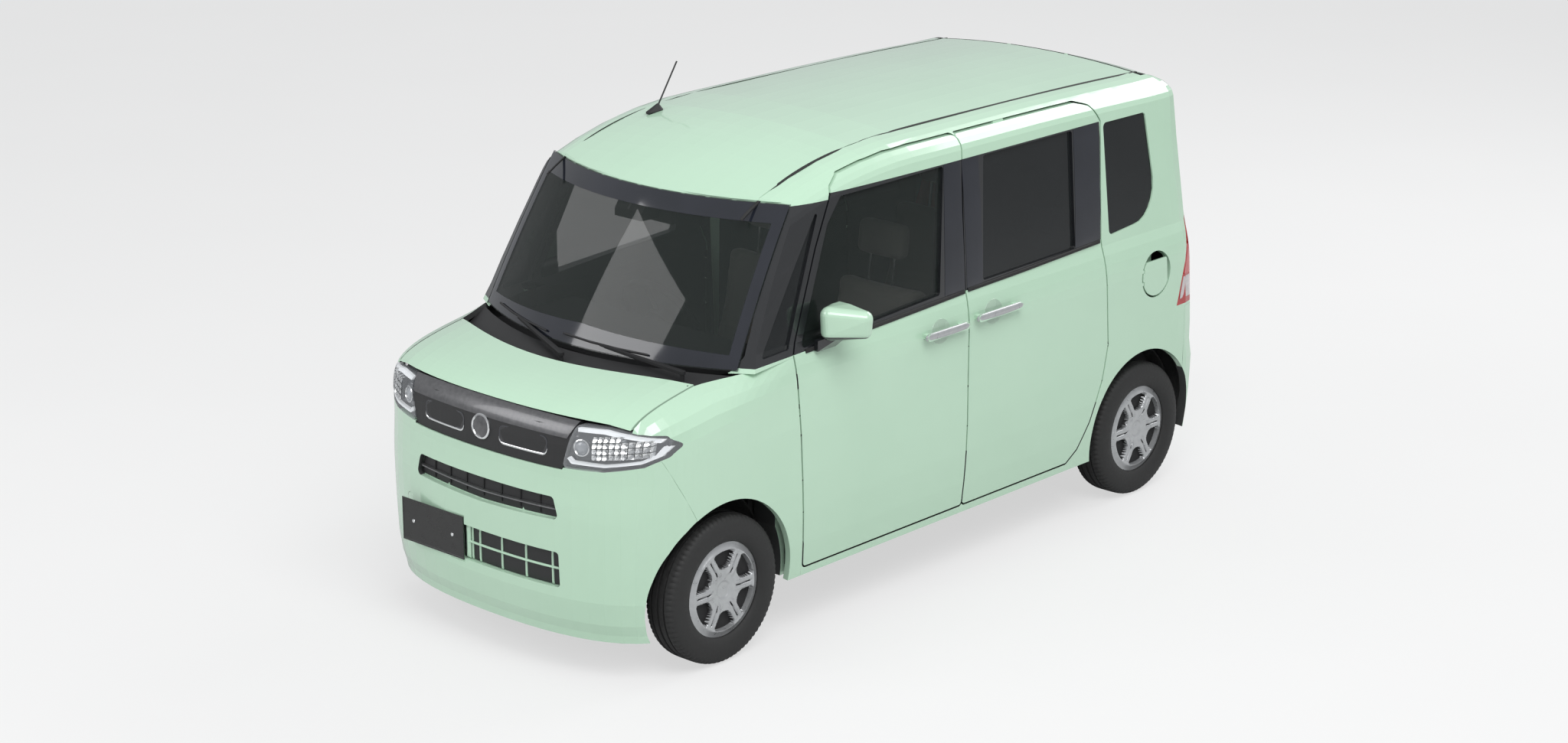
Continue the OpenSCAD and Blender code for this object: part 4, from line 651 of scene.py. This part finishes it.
def coverHeight(r, a):
    step = 2 * math.pi / cover["spokes"]
    fromSpoke = (a + step / 2) % step - step / 2
    fromWindow = (a % step) - step / 2
    corner = cover["corner"]
    # a D: an arc outside, straight sides along the spokes and a straight foot, all with round corners
    sideRoom = np.minimum(r * np.sin(step / 2 - np.abs(fromWindow)) - cover["spokeHalf"], 9)
    rooms = sideRoom, cover["windowTo"] - r, r * np.cos(fromWindow) - cover["windowFrom"]
    d1, d2, d3 = (np.maximum(corner - room, 0) for room in rooms)
    windowMask = smoothStep(-0.0006, 0.0012, corner - np.sqrt(d1 ** 2 + d2 ** 2 + d3 ** 2))
    across = np.abs(r * np.sin(fromSpoke))
    slit = np.maximum(across - cover["slitHalf"], np.maximum(cover["slitFrom"] - r, r - cover["slitTo"]))
    slitMask = smoothStep(0.0008, -0.0008, slit)
    height = -0.010 * smoothStep(0.150, 0.178, r)
    height = height - 0.006 * smoothStep(0.10, 0.02, r) + 0.003 * np.exp(-((r - 0.152) / 0.006) ** 2)
    height = height - 0.004 * smoothStep(0.034, 0.030, r)
    crown = 0.0035 * np.exp(-((across - 0.012) / 0.007) ** 2)
    crown = crown * smoothStep(0.05, 0.07, r) * smoothStep(0.15, 0.135, r)
    height = height + crown * (1 - windowMask)
    height = height - cover["windowDepth"] * windowMask - 0.007 * slitMask * (1 - windowMask)
    return height, np.maximum(windowMask, slitMask)


def addCover(name, cx, side, body):
    nr, na = cover["rings"], cover["spins"]
    rr = np.concatenate([[0.0015], np.linspace(0.008, cover["radius"], nr - 1)])
    aa = np.arange(na) * 2 * math.pi / na
    radii, angles = np.meshgrid(rr, aa, indexing="ij")
    height, mask = coverHeight(radii, angles)
    out, axle = cover["face"], tyreShape["radius"]
    face = [cx + radii * np.cos(angles), (out + height) * side, axle + radii * np.sin(angles)]
    verts = np.stack(face, -1).reshape(-1, 3)
    verts = np.vstack([verts, [[cx, (out + height[0].mean()) * side, axle]]])
    edgeX, edgeZ = cx + cover["radius"] * np.cos(aa), axle + cover["radius"] * np.sin(aa)
    rim = np.stack([edgeX, np.full(na, (out - 0.045) * side), edgeZ], -1)
    verts = np.vstack([verts, rim])
    tip, back = nr * na, nr * na + 1
    faces, dark = [], []
    flat = mask.reshape(-1)
    for i in range(nr - 1):
        for j in range(na):
            k = (j + 1) % na
            quad = (i * na + j, i * na + k, (i + 1) * na + k, (i + 1) * na + j)
            faces.append(quad)
            dark.append(flat[list(quad)].mean() > 0.5)
    for j in range(na):
        k = (j + 1) % na
        faces.append((tip, k, j))
        dark.append(False)
        faces.append(((nr - 1) * na + j, (nr - 1) * na + k, back + k, back + j))
        dark.append(False)
    faces.append(tuple(back + j for j in range(na)))
    dark.append(False)
    obj = newPiece(name, verts.tolist(), faces, "silver", body, 60)
    # the window and slit floor faces take the near-black material: painted shade
    obj.data.materials.append(finish["paintedHoleShade"])
    for face, isDark in zip(obj.data.polygons, dark):
        face.material_index = 1 if isDark else 0
    return obj


def addTyre(name, cx, cy, side, body):
    radius = tyreShape["radius"]
    half = [(0.1785, -0.060), (0.190, -0.072), (0.215, -0.0758), (0.240, -0.0745), (0.258, -0.070),
            (0.268, -0.064), (0.2735, -0.058), (0.2765, -0.050), (0.2780, -0.040), (0.2782, -0.034),
            (0.2715, -0.033), (0.2715, -0.027), (0.2784, -0.026), (0.2785, -0.006), (0.2715, -0.005)]
    outline = half + [(q, -y) for q, y in reversed(half)] + [(0.1785, 0.03), (0.1785, -0.03)]
    na = tyreShape["blocks"] * 3
    verts, faces = [], []
    for j in range(na):
        t = 2 * math.pi * j / na
        for r, y in outline:
            cut = 0.0045 if (j % 3 == 2 and 0.034 < abs(y) < 0.066 and r > 0.26) else 0
            q = r - cut
            verts.append((cx + q * math.cos(t), cy + y, radius + q * math.sin(t)))
    n = len(outline)
    for j in range(na):
        k = (j + 1) % na
        for i in range(n):
            m = (i + 1) % n
            faces.append((j * n + i, j * n + m, k * n + m, k * n + i))
    for v in range(len(verts)):
        if verts[v][2] < 0.0001:
            verts[v] = (verts[v][0], verts[v][1], 0.0001)
    return newPiece(name, verts, faces, "tyre", body, 38)


for where, cx in (("front", 1.1825), ("rear", -1.2775)):
    for label, s in sides:
        body = f"wheel_{where}_{label}"
        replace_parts(addCover(f"wheel_cover_{where}_{label}", cx, s, body), f"wheel_{where}_{label}")
        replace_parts(addTyre(f"tyre_tread_{where}_{label}", cx, s * 0.65, s, body), f"tyre_{where}_{label}")
print("wheels made")

# door handles: a silver grip over a round cup; the cup is a shallow bowl painted darker than the body, painted
# shade of a recess
handle = {"frontAt": (13, 992), "rearAt": (-300, 1002), "frontHalf": 126, "rearHalf": 139, "steps": 24,
          "ring": 16}


def addHandle(name, cx, cz, half, side, node, body):
    above = patch([(cx - 140, cz + 30), (cx + 120, cz + 30)], [(cx - 140, cz + 62), (cx + 120, cz + 62)], 14,
                  4)
    below = patch([(cx - 140, cz - 62), (cx + 120, cz - 62)], [(cx - 140, cz - 30), (cx + 120, cz - 30)], 14,
                  4)
    clearSkin = above + below
    cup = lambda r: circleAt(cx + 8, cz - 2, r, 48, 1.12)
    rings = [(cup(r), out) for r, out in ((48, -1), (47, 1.0), (44, 0.9), (36, 0.5), (20, 0.35), (4, 0.3))]
    loops(f"handle_cup_{name}", rings, [node], side, "cupPaintedShade", body, 2, cap=True, base=clearSkin)
    steps, ring = handle["steps"], handle["ring"]
    along = [cx - half + 2 * half * k / steps for k in range(steps + 1)]
    grid = [[(a / 1000, (cz + d) / 1000) for a in along] for d in (-8, 8)]
    points, out = skinPoints(grid, (node,), side, 2, base=clearSkin)
    verts, faces = [], []
    for k in range(steps + 1):
        bow = math.sin(math.pi * k / steps)
        arch, tall = 0.0275 + 0.002 * bow, 0.0142 + 0.0015 * max(bow, 0) ** 0.5
        mid = (points[0][k] + points[1][k]) / 2
        end = min(1.0, min(k, steps - k) / 2.0 + 0.25) ** 0.5
        for q in range(ring):
            t = 2 * math.pi * q / ring
            up = Vector((0, 0, tall * end * math.cos(t)))
            verts.append(mid + out * (arch + 0.0085 * end * math.sin(t)) + up)
    for k in range(steps):
        for q in range(ring):
            m = (q + 1) % ring
            faces.append((k * ring + q, k * ring + m, (k + 1) * ring + m, (k + 1) * ring + q))
    faces += [tuple(range(ring)), tuple(steps * ring + q for q in range(ring))]
    newPiece(f"handle_grip_{name}", verts, faces, "silver", body, 50)


for label, s in sides:
    door = f"front_door_{label}"
    addHandle(f"front_{label}", *handle["frontAt"], handle["frontHalf"], label, door, door)
    addHandle(f"rear_{label}", *handle["rearAt"], handle["rearHalf"], label, f"sliding_door_{label}",
              "body_shell")
print("handles made")

# tail lamps: dark border, bright inner lens blocks
tailLamp = {"blocks": ((790, 880, "clearLens"), (890, 1000, "amberLens"), (1010, 1186, "deepRed"))}
lampFront = lambda z: float(np.interp(z, (764, 1010, 1207), (-1486.5, -1555.5, -1575.5))) - 10
lampRear = lambda z: -1644 + max(0, z - 900) * 0.17
for label, s in sides:
    for low, high, tone in tailLamp["blocks"]:
        strip(f"tail_lens_{label}_{low}", [(lampFront(low), low), (lampRear(low), low)],
              [(lampFront(high), high), (lampRear(high), high)], ["tail_lamps"], label, tone, "body_shell",
              0.0012, 0.003, 24, 8)
print("tail lamps dressed")

# seats: cloth blown up over foam blocks, with sewn channels
seat = {"voxel": 0.010, "pressure": 4.0, "cap": 0.024, "frames": 20, "channelDepth": 0.006,
        "channelWidth": 0.007, "frontMiddle": 0.294, "rearMiddle": 0.265}


def puffed(name, size, rounding):
    bpy.ops.object.select_all(action="DESELECT")
    bpy.ops.mesh.primitive_cube_add(size=1, location=(0, 0, 0))
    obj = bpy.context.active_object
    obj.name = name
    obj.scale = size
    bpy.ops.object.transform_apply(location=False, rotation=False, scale=True)
    bevel = obj.modifiers.new("round", "BEVEL")
    bevel.width = rounding
    bevel.segments = 4
    bpy.ops.object.modifier_apply(modifier="round")
    remesh = obj.modifiers.new("voxels", "REMESH")
    remesh.mode = "VOXEL"
    remesh.voxel_size = seat["voxel"]
    bpy.ops.object.modifier_apply(modifier="voxels")
    rest = [v.co.copy() for v in obj.data.vertices]
    cloth = obj.modifiers.new("foam", "CLOTH")
    cloth.settings.use_pressure = True
    cloth.settings.uniform_pressure_force = seat["pressure"]
    cloth.settings.effector_weights.gravity = 0
    cloth.settings.quality = 4
    cloth.point_cache.frame_start = 1
    cloth.point_cache.frame_end = seat["frames"]
    for frameNow in range(1, seat["frames"] + 1):
        bpy.context.scene.frame_set(frameNow)
    ready = obj.evaluated_get(bpy.context.evaluated_depsgraph_get())
    blown = [v.co.copy() for v in ready.data.vertices]
    obj.modifiers.remove(cloth)
    for v, a, b in zip(obj.data.vertices, rest, blown):
        step = b - a
        if step.length > seat["cap"]:
            step *= seat["cap"] / step.length
        v.co = a + step
    bpy.context.scene.frame_set(1)
    return obj


def sewChannels(obj, lines, axis):
    for v in obj.data.vertices:
        drop = 0
        for at, line in lines:
            drop = max(drop, math.exp(-((v.co[at] - line) / seat["channelWidth"]) ** 2))
        if v.normal[axis] > 0.3:
            v.co[axis] -= drop * seat["channelDepth"] * v.normal[axis]
    sub = obj.modifiers.new("soft", "SUBSURF")
    sub.levels = sub.render_levels = 1
    bpy.ops.object.modifier_apply(modifier="soft")


cushion = puffed("cushion_form", (0.44, 0.445, 0.10), 0.035)
sewChannels(cushion, [(1, -0.13), (1, 0.13), (0, -0.06)], 2)
backRest = puffed("back_form", (0.09, 0.43, 0.44), 0.032)
sewChannels(backRest, [(1, -0.13), (1, 0.13), (2, -0.08)], 0)
headRest = puffed("head_form", (0.075, 0.23, 0.135), 0.028)
sewChannels(headRest, [(1, -0.085), (1, 0.085)], 0)
print("cloth run")


def seatPiece(form, name, place, lean, scale, node):
    obj = form.copy()
    obj.data = form.data.copy()
    obj.name = name
    bpy.context.collection.objects.link(obj)
    turn = Matrix.Rotation(math.radians(lean), 4, "Y")
    obj.data.transform(Matrix.Translation(place) @ turn @ Matrix.Diagonal((*scale, 1)))
    dress(obj, finish["fabric"])
    smooth(obj, 60)
    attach(obj, "body_shell")
    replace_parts(obj, node)
    return obj


for label, s in sides:
    y = s * seat["frontMiddle"]
    seatPiece(cushion, f"front_cushion_{label}", (0.175, y, 0.528), -2, (1, 1, 1), "front_seats")
    seatPiece(backRest, f"front_back_{label}", (-0.112, y, 0.852), -14, (1, 1, 1.05), "front_seats")
    seatPiece(headRest, f"front_head_{label}", (-0.158, y, 1.235), -8, (0.9, 1, 1), "front_seats")
    y = s * seat["rearMiddle"]
    seatPiece(cushion, f"rear_cushion_{label}", (-0.862, y, 0.526), -2, (0.92, 1.12, 1), "rear_seat")
    seatPiece(backRest, f"rear_back_{label}", (-1.142, y, 0.850), -14, (1, 1.16, 1.05), "rear_seat")
    seatPiece(headRest, f"rear_head_{label}", (-1.188, y, 1.233), -8, (0.9, 1, 1), "rear_seat")
    for row, x in (("front", -0.150), ("rear", -1.180)):
        for k, dy in enumerate((-0.06, 0.06)):
            bpy.ops.object.select_all(action="DESELECT")
            bpy.ops.mesh.primitive_cylinder_add(vertices=16, radius=0.006, depth=0.14, location=(0, 0, 0))
            post = bpy.context.active_object
            post.name = f"{row}_head_post_{label}_{k}"
            place = Matrix.Translation((x, s * seat[row + "Middle"] + dy, 1.13))
            post.data.transform(place @ Matrix.Rotation(math.radians(-8), 4, "Y"))
            bev = post.modifiers.new("edge", "BEVEL")
            bev.width = 0.001
            bpy.ops.object.modifier_apply(modifier="edge")
            dress(post, finish["chrome"])
            smooth(post, 40)
            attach(post, "body_shell")
for form in (cushion, backRest, headRest):
    bpy.data.objects.remove(form)
print("seats made")


def addStage():
    bpy.ops.object.select_all(action="DESELECT")
    bpy.ops.mesh.primitive_plane_add(size=60, location=(0, 0, 0))
    floor = bpy.context.active_object
    floor.name = "studioFloor"
    mat, tree, shader = nodeTree("paleFloor")
    noise = addNoise(tree, 0.8)
    addRamp(tree, noise.outputs["Fac"], (0.62, 0.62, 0.62), (0.64, 0.64, 0.64), shader)
    shader.inputs["Roughness"].default_value = 0.8
    paths = tree.nodes.new("ShaderNodeLightPath")
    glowNode = tree.nodes.new("ShaderNodeEmission")
    blend = tree.nodes.new("ShaderNodeMixShader")
    share = tree.nodes.new("ShaderNodeMath")
    share.operation = "MULTIPLY"
    share.inputs[1].default_value = 0.62
    tree.links.new(paths.outputs["Is Camera Ray"], share.inputs[0])
    tree.links.new(share.outputs["Value"], blend.inputs[0])
    tree.links.new(shader.outputs["BSDF"], blend.inputs[1])
    tree.links.new(glowNode.outputs["Emission"], blend.inputs[2])
    tree.links.new(blend.outputs["Shader"], tree.nodes["Material Output"].inputs["Surface"])
    dress(floor, mat)


def addLamp(name, place, size, power, target=(0, 0, 0.8)):
    light = bpy.data.objects.new(name, bpy.data.lights.new(name, "AREA"))
    bpy.context.collection.objects.link(light)
    light.data.shape = "RECTANGLE"
    light.data.size, light.data.size_y = size
    light.data.energy = power
    light.location = place
    light.rotation_euler = (Vector(target) - Vector(place)).to_track_quat("-Z", "Y").to_euler()


addStage()
addLamp("keyLamp", (3.0, 5.0, 7.5), (6, 5), 520)
addLamp("fillLamp", (7.5, -4.0, 5.0), (5, 4), 230)
addLamp("backLamp", (-7.0, 1.0, 6.0), (5, 4), 260)
world = bpy.data.worlds.new("studioWorld")
bpy.context.scene.world = world
world.use_nodes = True
worldNodes = world.node_tree.nodes
worldNodes["Background"].inputs["Color"].default_value = (0.92, 0.94, 0.96, 1)
worldNodes["Background"].inputs["Strength"].default_value = 0.55
bpy.context.scene.view_settings.view_transform = "Standard"
